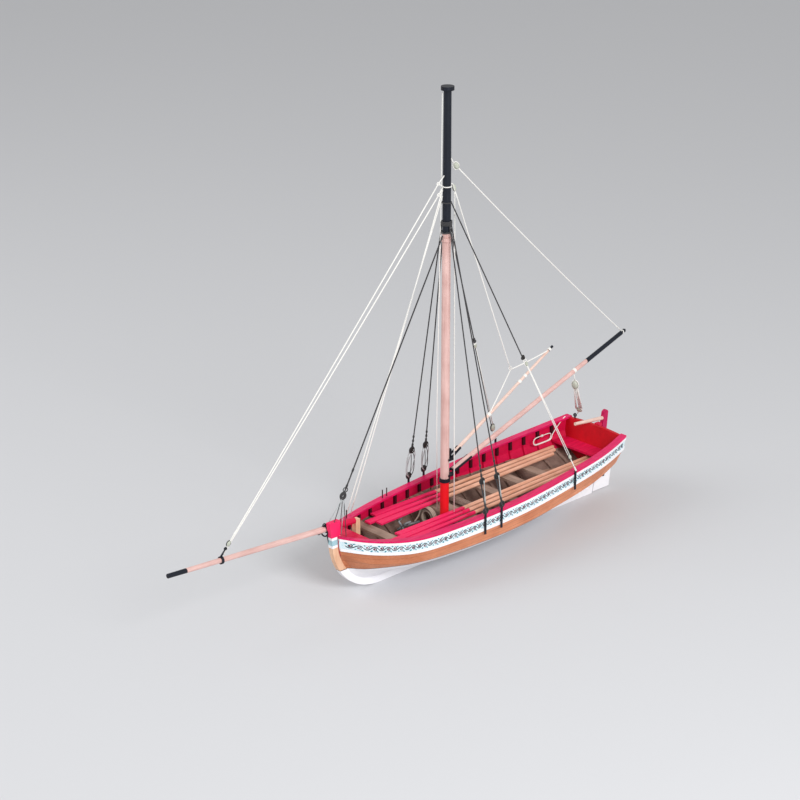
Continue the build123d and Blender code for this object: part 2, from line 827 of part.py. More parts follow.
# Forestay with its heart block over the stem
stay_head = (mast_x + mast_hounds_radius + stay_radius + 0.1, 0, forestay_top_z + 1.0)
heart = (forestay_heart[0], 0, forestay_heart[1])
with BuildPart() as forestay:
    add(rope(heart, stay_head, stay_radius))
    add(side_disc(heart[0], 0, heart[2], heart_radius, 1.0))
    add(side_disc(heart[0], 0, heart[2], heart_bore, 3.0), mode=Mode.SUBTRACT)
forestay.part.label = "forestay"
export_step(forestay.part, "parts/forestay.step")

# Running backstay pendants with their blocks
with BuildPart() as backstays:
    for side in (1, -1):
        head = (mast_x - 0.6, side * (mast_hounds_radius + 0.3), backstay_top_z)
        foot = (backstay_foot_x, side * (sheer_breadth(backstay_foot_x) + plate_proud), 19.0)
        block = along(head, foot, backstay_block_share)
        add(rope((block.X, block.Y, block.Z), head, shroud_radius))
        add(side_disc(block.X, block.Y, block.Z, 0.8, 0.8))
backstays.part.label = "backstays"
export_step(backstays.part, "parts/backstays.step")

# Doubled jib stay from the masthead to the traveller, and the topping lift to the boom's neck
traveller_top = (traveller_x, bowsprit_y, bowsprit_point(traveller_x)[0] + bowsprit_point(traveller_x)[1] + 0.4)
with BuildPart() as jib_stay:
    for z in jib_stay_heads_z:
        add(rope((mast_x + mast_hounds_radius - 0.1, 0, z), traveller_top, light_rope_radius))
    add(mast.part, mode=Mode.SUBTRACT)
    add(traveller, mode=Mode.SUBTRACT)
    add(bowsprit, mode=Mode.SUBTRACT)
jib_stay.part.label = "jib_stay"
export_step(jib_stay.part, "parts/jib_stay.step")

neck_share = 0.982
lift_foot = along((boom_heel[0], 0, boom_heel[1]), (boom_tip[0], 0, boom_tip[1]), neck_share)
with BuildPart() as topping_lift:
    add(rope(lift_foot, (topping_lift_head[0], 0, topping_lift_head[1]), light_rope_radius))
    add(boom, mode=Mode.SUBTRACT)
topping_lift.part.label = "topping_lift"
export_step(topping_lift.part, "parts/topping_lift.step")

# Floorboards, platforms and the bench aft
with BuildPart() as floorboards:
    add(deck_piece(-58.0, 52.0, floor_height, floor_height + floor_thickness))
floorboards.part.label = "floorboards"
export_step(floorboards.part, "parts/floorboards.step")

with BuildPart() as fore_platform:
    add(deck_piece(58.0, 72.5, platform_top - floor_thickness, platform_top))
fore_platform.part.label = "fore_platform"
export_step(fore_platform.part, "parts/fore_platform.step")

with BuildPart() as cockpit_sole:
    add(deck_piece(-72.0, -52.0, 3.2, 3.9))
cockpit_sole.part.label = "cockpit_sole"
export_step(cockpit_sole.part, "parts/cockpit_sole.step")

with BuildPart() as stern_bench:
    add(deck_piece(-79.0, -67.0, 12.6, 13.6))
    add(transom.part, mode=Mode.SUBTRACT)
    with BuildSketch(Plane.XZ):
        with BuildLine():
            Polyline(
                (post_face_x(-far) + transom_thickness, -far),
                (post_face_x(far) + transom_thickness, far),
                (far, far),
                (far, -far),
                close=True,
            )
        make_face()
    extrude(amount=far, both=True, mode=Mode.INTERSECT)
stern_bench.part.label = "stern_bench"
export_step(stern_bench.part, "parts/stern_bench.step")

with BuildPart() as breasthook:
    with BuildSketch(Plane.XY.offset(15.2)):
        with Locations((75.0, 0)):
            Rectangle(9.0, far)
    extrude(amount=1.3)
    add(fitted_full, mode=Mode.INTERSECT)
    add(cap_rails.part, mode=Mode.SUBTRACT)
breasthook.part.label = "breasthook"
export_step(breasthook.part, "parts/breasthook.step")

# Windlass barrel with eight flats, across the boat under the oars
windlass_half = at_station(windlass_x, 3) - plank - frame_moulded - riser_thickness - 0.2
with BuildPart() as windlass:
    with BuildSketch(Plane(origin=(windlass_x, 0, thwart_top - windlass_radius - 0.2), z_dir=(0, 1, 0))):
        RegularPolygon(windlass_radius, 8)
    extrude(amount=windlass_half, both=True)
windlass.part.label = "windlass"
export_step(windlass.part, "parts/windlass.step")

# Oars on the thwarts, with flat blades forward
oar_z = thwart_top + oar_loom_radius + oar_clearance
for side_name in ("port", "starboard"):
    with BuildPart() as oars:
        for row_side, y_blade, y_handle, x_tip, x_handle in oar_rows:
            if row_side != side_name:
                continue
            run = Vector(x_handle - x_tip, y_handle - y_blade, 0)
            blade_end = along((x_tip, y_blade, oar_z), (x_handle, y_handle, oar_z), blade_length / run.length)
            loom_plane = Plane(origin=blade_end, z_dir=run)
            blade_plane = Plane(origin=(x_tip, y_blade, oar_z), x_dir=(-run.Y, run.X, 0), z_dir=run)
            with BuildSketch(loom_plane.offset(-2.0)):
                RegularPolygon(oar_loom_radius, loom_sides)
            extrude(amount=run.length - blade_length + 2.0)
            with BuildSketch(blade_plane):
                Rectangle(oar_blade_width, oar_blade_thickness)
            with BuildSketch(blade_plane.offset(blade_length)):
                Rectangle(2 * oar_loom_radius * 0.8, oar_blade_thickness)
            loft(ruled=True)
    oars.part.label = "oars_" + side_name
    export_step(oars.part, "parts/oars_" + side_name + ".step")

# Grapnel lying in the bow on the starboard side, with four bent arms and a ring
shank_length = 13.0
arm_reach = 3.6
grapnel_crown = (33.5, -10.6, 4.0)
grapnel_eye = (21.5 + 1.5, -11.4, 2.6)
with BuildPart() as grapnel:
    shank = Vector(grapnel_eye) - Vector(grapnel_crown)
    crown_plane = Plane(origin=grapnel_crown, z_dir=shank)
    with BuildSketch(crown_plane):
        RegularPolygon(0.55, rope_sides)
    extrude(amount=shank_length - 2.0)
    for turn in (45, 135, 225, 315):
        out = (cos(radians(turn)), sin(radians(turn)))
        knee = crown_plane.from_local_coords((0.7 * arm_reach * out[0], 0.7 * arm_reach * out[1], -0.6))
        tip = crown_plane.from_local_coords((arm_reach * out[0], arm_reach * out[1], 2.2))
        add(rope(grapnel_crown, (knee.X, knee.Y, knee.Z), 0.45))
        add(rope((knee.X, knee.Y, knee.Z), (tip.X, tip.Y, tip.Z), 0.45))
grapnel.part.label = "grapnel"
export_step(grapnel.part, "parts/grapnel.step")

# Pins standing on the starboard cap rail
with BuildPart() as thole_pins:
    for x in pin_xs:
        with BuildSketch(Plane.XY.offset(sheer_height(x) + cap_thickness + 0.1)):
            with Locations((x, pin_inboard - sheer_breadth(x))):
                RegularPolygon(pin_radius, 6)
        extrude(amount=pin_height)
thole_pins.part.label = "thole_pins"
export_step(thole_pins.part, "parts/thole_pins.step")

# Coil of the anchor warp, hung at the mast thwart's fore edge
with BuildPart() as anchor_warp:
    with BuildSketch(Plane(origin=warp_coil_centre, z_dir=(1, 0, 0))):
        RegularPolygon(warp_coil_radius, disc_sides)
        RegularPolygon(warp_coil_radius - warp_coil_wall, disc_sides, mode=Mode.SUBTRACT)
    extrude(amount=warp_coil_depth / 2, both=True)
anchor_warp.part.label = "anchor_warp"
export_step(anchor_warp.part, "parts/anchor_warp.step")

# Hank of the main sheet's tail on the starboard side aft
with BuildPart() as sheet_hank:
    with BuildSketch(Plane(origin=hank_centre, x_dir=(1, 0, 0), z_dir=(0, 1, 0.25))):
        SlotOverall(hank_length, hank_height)
    extrude(amount=hank_depth / 2, both=True)
sheet_hank.part.label = "sheet_hank"
export_step(sheet_hank.part, "parts/sheet_hank.step")

# Eyebolt for the main sheet's lower block, on the transom's starboard corner
eye_y = -12.4
eye_z = sheer_height(-79.0) + transom_arch * 0.62
eye_x = post_face_x(eye_z) + transom_thickness / 2
with BuildPart() as sheet_eye:
    with BuildSketch(Plane.XY.offset(eye_z)):
        with Locations((eye_x, eye_y)):
            RegularPolygon(0.35, rope_sides)
    extrude(amount=0.9)
    with BuildSketch(Plane(origin=(eye_x, eye_y, eye_z + 1.5), z_dir=(1, 0, 0))):
        RegularPolygon(0.9, disc_sides)
        RegularPolygon(0.45, rope_sides, mode=Mode.SUBTRACT)
    extrude(amount=0.3, both=True)
sheet_eye.part.label = "sheet_eye"
export_step(sheet_eye.part, "parts/sheet_eye.step")
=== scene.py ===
from math import cos, hypot, pi, radians, sin

import bpy
from mathutils import Matrix, Vector


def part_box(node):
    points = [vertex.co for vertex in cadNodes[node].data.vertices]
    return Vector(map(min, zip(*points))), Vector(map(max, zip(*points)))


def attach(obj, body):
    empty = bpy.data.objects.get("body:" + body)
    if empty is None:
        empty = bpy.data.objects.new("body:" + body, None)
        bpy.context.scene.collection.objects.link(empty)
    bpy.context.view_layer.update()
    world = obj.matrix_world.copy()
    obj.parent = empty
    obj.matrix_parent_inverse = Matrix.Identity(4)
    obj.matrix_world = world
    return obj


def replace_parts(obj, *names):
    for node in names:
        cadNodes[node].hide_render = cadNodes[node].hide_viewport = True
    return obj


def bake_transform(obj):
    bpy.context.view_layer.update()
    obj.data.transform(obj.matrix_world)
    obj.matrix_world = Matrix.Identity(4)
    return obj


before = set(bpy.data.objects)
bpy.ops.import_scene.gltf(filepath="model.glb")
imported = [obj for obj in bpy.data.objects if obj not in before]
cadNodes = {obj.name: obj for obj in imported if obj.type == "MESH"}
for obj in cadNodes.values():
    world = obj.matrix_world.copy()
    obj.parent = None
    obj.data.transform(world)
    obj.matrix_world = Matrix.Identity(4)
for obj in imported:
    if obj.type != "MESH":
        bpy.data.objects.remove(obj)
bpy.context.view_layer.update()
print("frame loaded with", len(cadNodes), "solids")

# Every size below is in millimetres, with +X to the bow, +Y to port and +Z up.
# The origin is amidships on the painted waterline. Meshes are scaled to metres as they are made.
metresPerMm = 0.001


def toLinear(hexColour):
    channels = [int(hexColour[i:i + 2], 16) / 255 for i in (1, 3, 5)]
    return [c / 12.92 if c <= 0.04045 else ((c + 0.055) / 1.055) ** 2.4 for c in channels] + [1.0]


def addNode(tree, kind, settings=None, links=None):
    # adds one node, with its properties and sockets set and its inputs linked
    node = tree.nodes.new(kind)
    for key, value in (settings or {}).items():
        if isinstance(key, str) and hasattr(node, key):
            setattr(node, key, value)
        else:
            node.inputs[key].default_value = value
    for key, source in (links or {}).items():
        tree.links.new(source, node.inputs[key])
    return node


def startMaterial(name, roughness, **shaderSettings):
    # a Principled material, with object coordinates in millimetres to draw its patterns by
    material = bpy.data.materials.new(name)
    material.use_nodes = True
    tree = material.node_tree
    tree.nodes.clear()
    shader = addNode(tree, "ShaderNodeBsdfPrincipled", {"Roughness": roughness})
    for key, value in shaderSettings.items():
        shader.inputs[key.replace("_", " ")].default_value = value
    addNode(tree, "ShaderNodeOutputMaterial", None, {"Surface": shader.outputs[0]})
    local = addNode(tree, "ShaderNodeTexCoord").outputs["Object"]
    scaled = addNode(tree, "ShaderNodeVectorMath", {"operation": "SCALE", "Scale": 1000.0}, {0: local})
    return material, tree, shader, scaled.outputs[0]


def maths(tree, operation, first, second=0.0):
    settings, links = {"operation": operation}, {}
    for index, value in enumerate((first, second)):
        if isinstance(value, (int, float)):
            settings[index] = value
        else:
            links[index] = value
    return addNode(tree, "ShaderNodeMath", settings, links).outputs[0]


def stretchedNoise(tree, coords, sizes, detail=4.0, roughness=0.6):
    # noise whose marks are about as long on each axis as the sizes given
    spread = addNode(tree, "ShaderNodeVectorMath", {"operation": "DIVIDE", 1: sizes}, {0: coords}).outputs[0]
    noise = addNode(tree, "ShaderNodeTexNoise", {"Scale": 1.0, "Detail": detail, "Roughness": roughness},
                    {"Vector": spread})
    return noise.outputs["Fac"]


def mixColours(tree, factor, first, second):
    node = addNode(tree, "ShaderNodeMix", {"data_type": "RGBA"}, {0: factor})
    for socket, colour in ((6, first), (7, second)):
        if isinstance(colour, str):
            node.inputs[socket].default_value = toLinear(colour)
        else:
            tree.links.new(colour, node.inputs[socket])
    return node.outputs[2]


def ramp(tree, value, low, high):
    # 0 below low, 1 above high; the other way round where low is the larger
    settings = {"clamp": True, "From Min": min(low, high), "From Max": max(low, high),
                "To Min": 0.0 if low < high else 1.0, "To Max": 1.0 if low < high else 0.0}
    return addNode(tree, "ShaderNodeMapRange", settings, {"Value": value}).outputs["Result"]


def axisOf(tree, vector, axis):
    return addNode(tree, "ShaderNodeSeparateXYZ", None, {0: vector}).outputs["XYZ".index(axis)]


def addBump(tree, shader, height, distanceMm, strength=0.5):
    bump = addNode(tree, "ShaderNodeBump", {"Strength": strength, "Distance": distanceMm * metresPerMm},
                   {"Height": height})
    tree.links.new(bump.outputs[0], shader.inputs["Normal"])


# Grain sizes: how long the streaks run and how wide they are. Real pores are finer than a pixel here,
# so the streaks are drawn about three times as coarse.
grainSizes = {"long": 16.0, "wide": 0.5, "patch": 9.0}


def grainVector(axis):
    sizes = [grainSizes["wide"]] * 3
    sizes["XYZ".index(axis)] = grainSizes["long"]
    return sizes


def woodColour(tree, coords, axis, light, dark, patchStrength=0.45):
    # streaks along the grain, with broad patches where the varnish took unevenly
    streaks = stretchedNoise(tree, coords, grainVector(axis))
    patches = stretchedNoise(tree, coords, [grainSizes["patch"]] * 3, 2.0)
    tone = maths(tree, "ADD", maths(tree, "MULTIPLY", streaks, 1 - patchStrength),
                 maths(tree, "MULTIPLY", patches, patchStrength))
    return mixColours(tree, ramp(tree, tone, 0.36, 0.66), light, dark), streaks


def paintZones(tree, coords, colour, zones):
    # lays paint over the wood: each zone has a test on the coordinates and a colour
    covered = 0.0
    for zone in zones:
        value = axisOf(tree, coords, zone["axis"])
        if zone.get("underSheer"):
            value = maths(tree, "SUBTRACT", sheerAt(tree, coords), value)
        if "tilt" in zone:
            rise = maths(tree, "MULTIPLY", axisOf(tree, coords, "X"), zone["tilt"])
            value = maths(tree, "SUBTRACT", value, rise)
        soft = zone.get("soft", 0.06)
        mask = ramp(tree, value, zone["start"] - soft, zone["start"] + soft)
        if zone.get("below"):
            mask = ramp(tree, value, zone["start"] + soft, zone["start"] - soft)
        if "until" in zone:
            end = ramp(tree, value, zone["until"] + soft, zone["until"] - soft)
            mask = maths(tree, "MULTIPLY", mask, end)
        if "facing" in zone:
            mask = maths(tree, "MULTIPLY", mask, facingMask(tree, coords, zone["facing"]))
        wear = stretchedNoise(tree, coords, [2.5] * 3, 3.0)
        paint = mixColours(tree, wear, zone["colour"], zone.get("shade", zone["colour"]))
        colour = mixColours(tree, mask, colour, paint)
        covered = maths(tree, "MAXIMUM", covered, mask) if not isinstance(covered, float) else mask
    return colour, covered


def facingMask(tree, coords, facing):
    # 1 on faces that look out of the boat, into it or forward, by the normal
    normal = addNode(tree, "ShaderNodeNewGeometry").outputs["Normal"]
    side = maths(tree, "SIGN", axisOf(tree, coords, "Y"))
    out = maths(tree, "MULTIPLY", axisOf(tree, normal, "Y"), side)
    if facing == "fore":
        return ramp(tree, axisOf(tree, normal, "X"), 0.4, 0.6)
    return ramp(tree, out, -0.02, 0.02) if facing == "out" else ramp(tree, out, 0.02, -0.02)


def woodMaterial(name, axis, light, dark, roughness, zones=(), bumpMm=0.03, paintRoughness=0.45):
    finish = paintSheen if zones else {"IOR": 1.5, "Specular_IOR_Level": 0.4}
    material, tree, shader, coords = startMaterial(name, roughness, **finish)
    colour, streaks = woodColour(tree, coords, axis, light, dark)
    height = streaks
    if zones:
        colour, covered = paintZones(tree, coords, colour, zones)
        bare = maths(tree, "SUBTRACT", 1.0, maths(tree, "MULTIPLY", covered, 0.75))
        height = maths(tree, "MULTIPLY", streaks, bare)
        gloss = maths(tree, "ADD", roughness, maths(tree, "MULTIPLY", covered, paintRoughness - roughness))
        tree.links.new(gloss, shader.inputs["Roughness"])
    tree.links.new(colour, shader.inputs["Base Color"])
    addBump(tree, shader, height, bumpMm)
    return material


def paintMaterial(name, colour, shade, roughness, speckMm=1.2):
    # brushed paint on fine wood: an even coat whose faint brush marks only show in its gloss
    material, tree, shader, coords = startMaterial(name, roughness, **paintSheen)
    marks = stretchedNoise(tree, coords, [speckMm * 5, speckMm, speckMm], 3.0)
    tree.links.new(mixColours(tree, ramp(tree, marks, 0.35, 0.7), colour, shade), shader.inputs["Base Color"])
    tree.links.new(maths(tree, "ADD", roughness - 0.06, maths(tree, "MULTIPLY", marks, 0.12)),
                   shader.inputs["Roughness"])
    addBump(tree, shader, marks, 0.02, 0.35)
    return material


def ropeMaterial(name, light, dark, strandMm, roughness=0.85):
    # laid cord: the strands' diagonal shows as bands of shade, drawn coarser than real thread
    material, tree, shader, coords = startMaterial(name, roughness, IOR=1.5, Sheen_Weight=0.25)
    uv = addNode(tree, "ShaderNodeTexCoord").outputs["UV"]
    along = maths(tree, "DIVIDE", axisOf(tree, uv, "X"), strandMm)
    turned = maths(tree, "ADD", along, axisOf(tree, uv, "Y"))
    wave = maths(tree, "SINE", maths(tree, "MULTIPLY", turned, 2 * pi))
    strands = maths(tree, "ADD", 0.5, maths(tree, "MULTIPLY", wave, 0.5))
    fuzz = stretchedNoise(tree, coords, [0.3] * 3, 2.0)
    tone = maths(tree, "ADD", maths(tree, "MULTIPLY", strands, 0.7), maths(tree, "MULTIPLY", fuzz, 0.3))
    tree.links.new(mixColours(tree, tone, dark, light), shader.inputs["Base Color"])
    addBump(tree, shader, strands, 0.06, 0.6)
    return material


# Finishes. The wood is planed pear and walnut under a thin satin varnish, which leaves the grain as soft
# streaks with little shine. Paint colours follow the boat: crimson inboard, white below the waterline.
colours = {  # each light and dark tone of one finish
    "crimson": ("#e0144c", "#c40c40"), "rail": ("#e61c66", "#c91354"),
    "scarlet": ("#f4202a", "#e0141f"), "blade": ("#fb2c68", "#e41c58"),
    "sternRed": ("#d40e22", "#b00918"), "white": ("#fbfafc", "#f0eef4"),
    "black": ("#12151d", "#1d222e"), "planking": ("#eca07a", "#c97a55"),
    "peach": ("#f2c8a8", "#d8a684"), "spar": ("#e6c2bb", "#c99e97"),
    "paleSpar": ("#eed5c9", "#d6b3a5"), "loom": ("#f0bca2", "#cc9072"),
    "deck": ("#a0877b", "#684f46"),
}


def paint(name):
    # one paint's two tones, as a zone takes them
    return dict(zip(("colour", "shade"), colours[name]))


crimsonPaint = paint("crimson")
whitePaint = paint("white")
scarletPaint = paint("scarlet")
bladePaint = paint("blade")
blackPaint = paint("black")
# Paints here are thin satin coats, so they reflect less than bare varnish does
paintSheen = {"IOR": 1.5, "Specular_IOR_Level": 0.25}

# The waterline rises a little to the bow. A thin dark line runs along its upper edge.
waterline = {"height": 0.6, "tilt": 0.02, "line": 0.28}
bottomZones = [
    dict(whitePaint, axis="Z", tilt=waterline["tilt"], below=True, start=waterline["height"]),
    {"axis": "Z", "tilt": waterline["tilt"], "start": waterline["height"], "until": waterline["height"]
     + waterline["line"], "colour": "#3b2a22", "soft": 0.05},
]

# Heights of the sheer along the boat, which the plank seams follow: x and z
sheerCurve = [(-83, 22.6), (-58, 19.4), (-36, 17.7), (-10, 15.6), (14, 14.4), (36, 13.8), (54, 13.7),
              (66, 15.0), (74, 16.4), (82, 17.9)]
planking = {"width": 2.6, "seam": 0.09, "riserHeight": 9.2}


def sheerAt(tree, coords):
    # the sheer's height at each x, as a float curve over the boat's length
    along = ramp(tree, axisOf(tree, coords, "X"), -90.0, 90.0)
    node = addNode(tree, "ShaderNodeFloatCurve", None, {"Value": along})
    curve = node.mapping.curves[0]
    points = [((x + 90) / 180, z / 30) for x, z in sheerCurve]
    curve.points[0].location = (0.0, 0.79)
    curve.points[-1].location = (1.0, 0.64)
    for x, z in points:
        curve.points.new(x, z)
    node.mapping.update()
    return maths(tree, "MULTIPLY", node.outputs[0], 30.0)


def plankedMaterial(name):
    # pear planks, scraped and varnished, with tight dark seams; painted white below and crimson inboard
    material, tree, shader, coords = startMaterial(name, 0.42, **paintSheen)
    colour, streaks = woodColour(tree, coords, "X", *colours["planking"])
    drop = maths(tree, "SUBTRACT", sheerAt(tree, coords), axisOf(tree, coords, "Z"))
    strake = maths(tree, "DIVIDE", drop, planking["width"])
    offset = maths(tree, "ABSOLUTE", maths(tree, "SUBTRACT", maths(tree, "FRACT", strake), 0.5))
    seam = ramp(tree, offset, 0.5 - planking["seam"] / planking["width"], 0.5)
    plankTone = addNode(tree, "ShaderNodeTexWhiteNoise", {"noise_dimensions": "1D"},
                        {"W": maths(tree, "FLOOR", strake)}).outputs["Value"]
    colour = mixColours(tree, maths(tree, "MULTIPLY", plankTone, 0.35), colour, colours["planking"][1])
    # Painted shade: the planks are mixed towards a darker brown towards the bow.
    bowPaintedShade = ramp(tree, axisOf(tree, coords, "X"), 20.0, 86.0)  # the planks darken a little to the bow
    colour = mixColours(tree, maths(tree, "MULTIPLY", bowPaintedShade, 0.55), colour, "#a8623c")
    colour = mixColours(tree, maths(tree, "MULTIPLY", seam, 0.7), colour, "#5b3220")
    inside = {"axis": "Z", "facing": "in"}
    zones = bottomZones + [
        dict(inside, **paint("deck"), below=True, start=60.0),
        dict(inside, **crimsonPaint, start=planking["riserHeight"]),
    ]
    colour, covered = paintZones(tree, coords, colour, zones)
    tree.links.new(colour, shader.inputs["Base Color"])
    gloss = maths(tree, "SUBTRACT", 0.46, maths(tree, "MULTIPLY", covered, 0.08))
    tree.links.new(gloss, shader.inputs["Roughness"])
    height = maths(tree, "SUBTRACT", maths(tree, "MULTIPLY", streaks, 0.3), seam)
    addBump(tree, shader, height, 0.08, 0.5)
    return material


pearPlanks = plankedMaterial("pearPlanksVarnished")
stemZones = bottomZones + [
    dict(whitePaint, axis="Z", until=18.5, start=13.7),
    {"axis": "Z", "start": 14.9, "until": 17.3, "colour": "#b9dbe0", "shade": "#8fb6c4"},
    {"axis": "Z", "start": 18.5, "colour": "#ff2c6c", "shade": "#ea1c5a"},
]
# Scraped pear at the stem, keel and posts, paler than the varnished planks
pearStem = woodMaterial("pearStem", "Z", *colours["peach"], 0.45, stemZones)
pearKeel = woodMaterial("pearKeelPainted", "X", *colours["peach"], 0.45, bottomZones)
postZones = bottomZones + [dict(crimsonPaint, axis="Z", start=14.0)]
pearPost = woodMaterial("pearSternpost", "Z", *colours["peach"], 0.45, postZones)
sternPaint = paint("sternRed")
transomZones = [
    dict(sternPaint, axis="Z", facing="fore", start=-60.0),
    dict(sternPaint, axis="Z", start=14.5),
    dict(whitePaint, axis="Z", tilt=waterline["tilt"], below=True, start=waterline["height"]),
]
pearTransom = woodMaterial("pearTransom", "Y", *colours["planking"], 0.45,
                           transomZones)
frameZones = [
    dict(crimsonPaint, axis="Z", start=9.6),
    # Painted shade: the frame heads are drawn dark for 4.4 mm below the sheer, for the shadows the frames
    # throw on the crimson bulwark.
    dict(axis="Z", underSheer=True, below=True, colour="#4a1420", shade="#2a0d14", start=4.4),
]
# Walnut inside the boat is sanded and left dull, so it is rougher and shows broad dark patches
walnutFrames = woodMaterial("walnutFrames", "Z", *colours["deck"], 0.7, frameZones)
walnutBoards = woodMaterial("walnutBoards", "X", *colours["deck"], 0.68)
walnutThwarts = woodMaterial("walnutThwarts", "Y", "#ab8f80", "#765d50", 0.62)
palerSole = woodMaterial("pearSole", "X", "#c4a490", "#8d6e5a", 0.62)
pearPostBow = woodMaterial("pearBowsprit", "Z", *colours["peach"], 0.5)
crimsonWood = paintMaterial("crimsonPaint", *colours["crimson"], 0.42)
railPaint = paintMaterial("railPaint", *colours["rail"], 0.34)
whiteWood = paintMaterial("whitePaint", *colours["white"], 0.4)
friezeGround = paintMaterial("turquoiseGround", "#e9f4f8", "#c6e2ec", 0.5)
# The ironwork is brass under black enamel, brushed on, so it shines as paint does and not as metal.
# The grapnel is dark enamel, mottled with light grey patches that are painted highlights.
blackIron = paintMaterial("blackEnamel", *colours["black"], 0.4)
grapnelPaintedHighlights = paintMaterial("enamelWithPaintedHighlights", "#a9afb2", "#3d4448", 0.3)
# Turned boxwood is close-grained and even: stained black for deadeyes, bare and pale for blocks
darkDeadeye = woodMaterial("stainedBoxwood", "Z", "#2b2624", "#171413", 0.5)
paleBlock = woodMaterial("boxwoodBlock", "Z", "#c6cabc", "#9b9e90", 0.55)
# Spars are tapered pear dowels with painted ends, and their grain runs lengthwise
mastZones = [dict(blackPaint, axis="Z", start=134.8),
             dict(scarletPaint, axis="Z", below=True, start=25.0)]
mastWood = woodMaterial("pearMast", "Z", *colours["spar"], 0.42, mastZones)
bowspritWood = woodMaterial("pearBowspritSpar", "X", *colours["spar"], 0.42,
                            [dict(blackPaint, axis="X", start=156.9),
                             dict(crimsonPaint, axis="X", below=True, start=79.5)])
boomWood = woodMaterial("pearBoom", "X", *colours["spar"], 0.42,
                        [dict(blackPaint, axis="X", below=True, start=-69.8)])
gaffWood = woodMaterial("pearGaff", "X", *colours["paleSpar"], 0.42,
                        [dict(blackPaint, axis="X", below=True, start=-44.6)])
tillerWood = woodMaterial("pearTiller", "X", *colours["paleSpar"], 0.42)
portOars = woodMaterial("pearOarsPort", "X", *colours["loom"], 0.45,
                        [dict(bladePaint, axis="X", start=11.5)])
starboardOars = woodMaterial("pearOarsStarboard", "X", *colours["loom"], 0.45,
                             [dict(bladePaint, axis="X", start=8.0)])
# The irons round the mast: painted black low down, and the spar's own colour above
hoopZones = [dict(blackPaint, axis="Z", below=True, start=60.0)]
mastHoops = woodMaterial("paintedHoops", "Z", *colours["spar"], 0.45, hoopZones)
rudderZones = bottomZones + [dict(axis="Z", colour="#d0165c", shade="#a80e48", start=9.0)]
rudderWood = woodMaterial("pearRudder", "Z", *colours["peach"], 0.45, rudderZones)
# Laid thread: tarred black for what stands, bleached linen for what runs, hemp for the anchor's warp
tarredCord = ropeMaterial("tarredCord", "#3d3c3e", "#1f1f22", 0.5)
whiteCord = ropeMaterial("bleachedLinen", "#fdfcf9", "#dddad3", 0.5)
hempCord = ropeMaterial("hempWarp", "#c2ae9e", "#796b5f", 0.8)
greyCord = ropeMaterial("lanyardCord", "#cfd3d4", "#8d9496", 0.4)
# The frieze's scroll is matt gouache, with only a faint gloss
scrollInk = paintMaterial("scrollInk", "#2a3440", "#1b232c", 0.55)
scrollTeal = paintMaterial("scrollTeal", "#4f9fae", "#3a7f92", 0.55)
scrollRed = paintMaterial("scrollRed", "#b8405e", "#98304c", 0.55)
thinPin = woodMaterial("stainedPins", "Z", "#2a1a18", "#150d0c", 0.5)

# The finish for each solid of model.glb, by its name; any other solid takes the walnut boards' finish
nodeFinishes = {
    "hull_port": pearPlanks, "hull_starboard": pearPlanks, "keel": pearKeel, "stem": pearStem,
    "sternpost": pearPost, "transom": pearTransom, "frames": walnutFrames, "cap_rails": railPaint,
    "upper_mouldings": whiteWood, "lower_mouldings": whiteWood, "frieze_bands": friezeGround,
    "risers": walnutBoards, "breasthook": crimsonWood, "stern_bench": crimsonWood,
    "floorboards": walnutBoards, "fore_platform": walnutBoards, "cockpit_sole": palerSole,
    "thwart_bow": walnutThwarts, "thwart_mast": walnutThwarts, "thwart_main": walnutThwarts,
    "thwart_after": walnutThwarts, "thwart_stroke": walnutThwarts, "mast": mastWood, "mast_cap": blackIron,
    "mast_irons": mastHoops, "bowsprit": bowspritWood, "bowsprit_post": pearPostBow, "gammon_iron": blackIron,
    "traveller": blackIron, "boom": boomWood, "gaff": gaffWood,
    "boom_jaws": blackIron, "gaff_jaws": blackIron,
    "rudder": rudderWood, "rudder_irons": blackIron, "gudgeons": blackIron, "tiller": tillerWood,
    "chainplates": blackIron, "lower_deadeyes": darkDeadeye, "upper_deadeyes": darkDeadeye,
    "shrouds": tarredCord, "forestay": tarredCord, "backstays": tarredCord, "windlass": walnutBoards,
    "oars_port": portOars, "oars_starboard": starboardOars, "grapnel": grapnelPaintedHighlights, "thole_pins": thinPin,
    "sheet_eye": blackIron, "anchor_warp": hempCord, "sheet_hank": whiteCord, "jib_stay": whiteCord,
    "topping_lift": whiteCord,
}
for nodeName, node in cadNodes.items():
    node.data.materials.clear()
    node.data.materials.append(nodeFinishes.get(nodeName, walnutBoards))
print("finishes on", len(cadNodes), "solids")


# Mesh making. A shape is its points in millimetres, its faces, and a UV pair for each corner.
def acrossOf(direction):
    direction = Vector(direction).normalized()
    helper = Vector((0, 0, 1)) if abs(direction.z) < 0.9 else Vector((0, 1, 0))
    side = direction.cross(helper).normalized()
    return side, direction.cross(side).normalized()


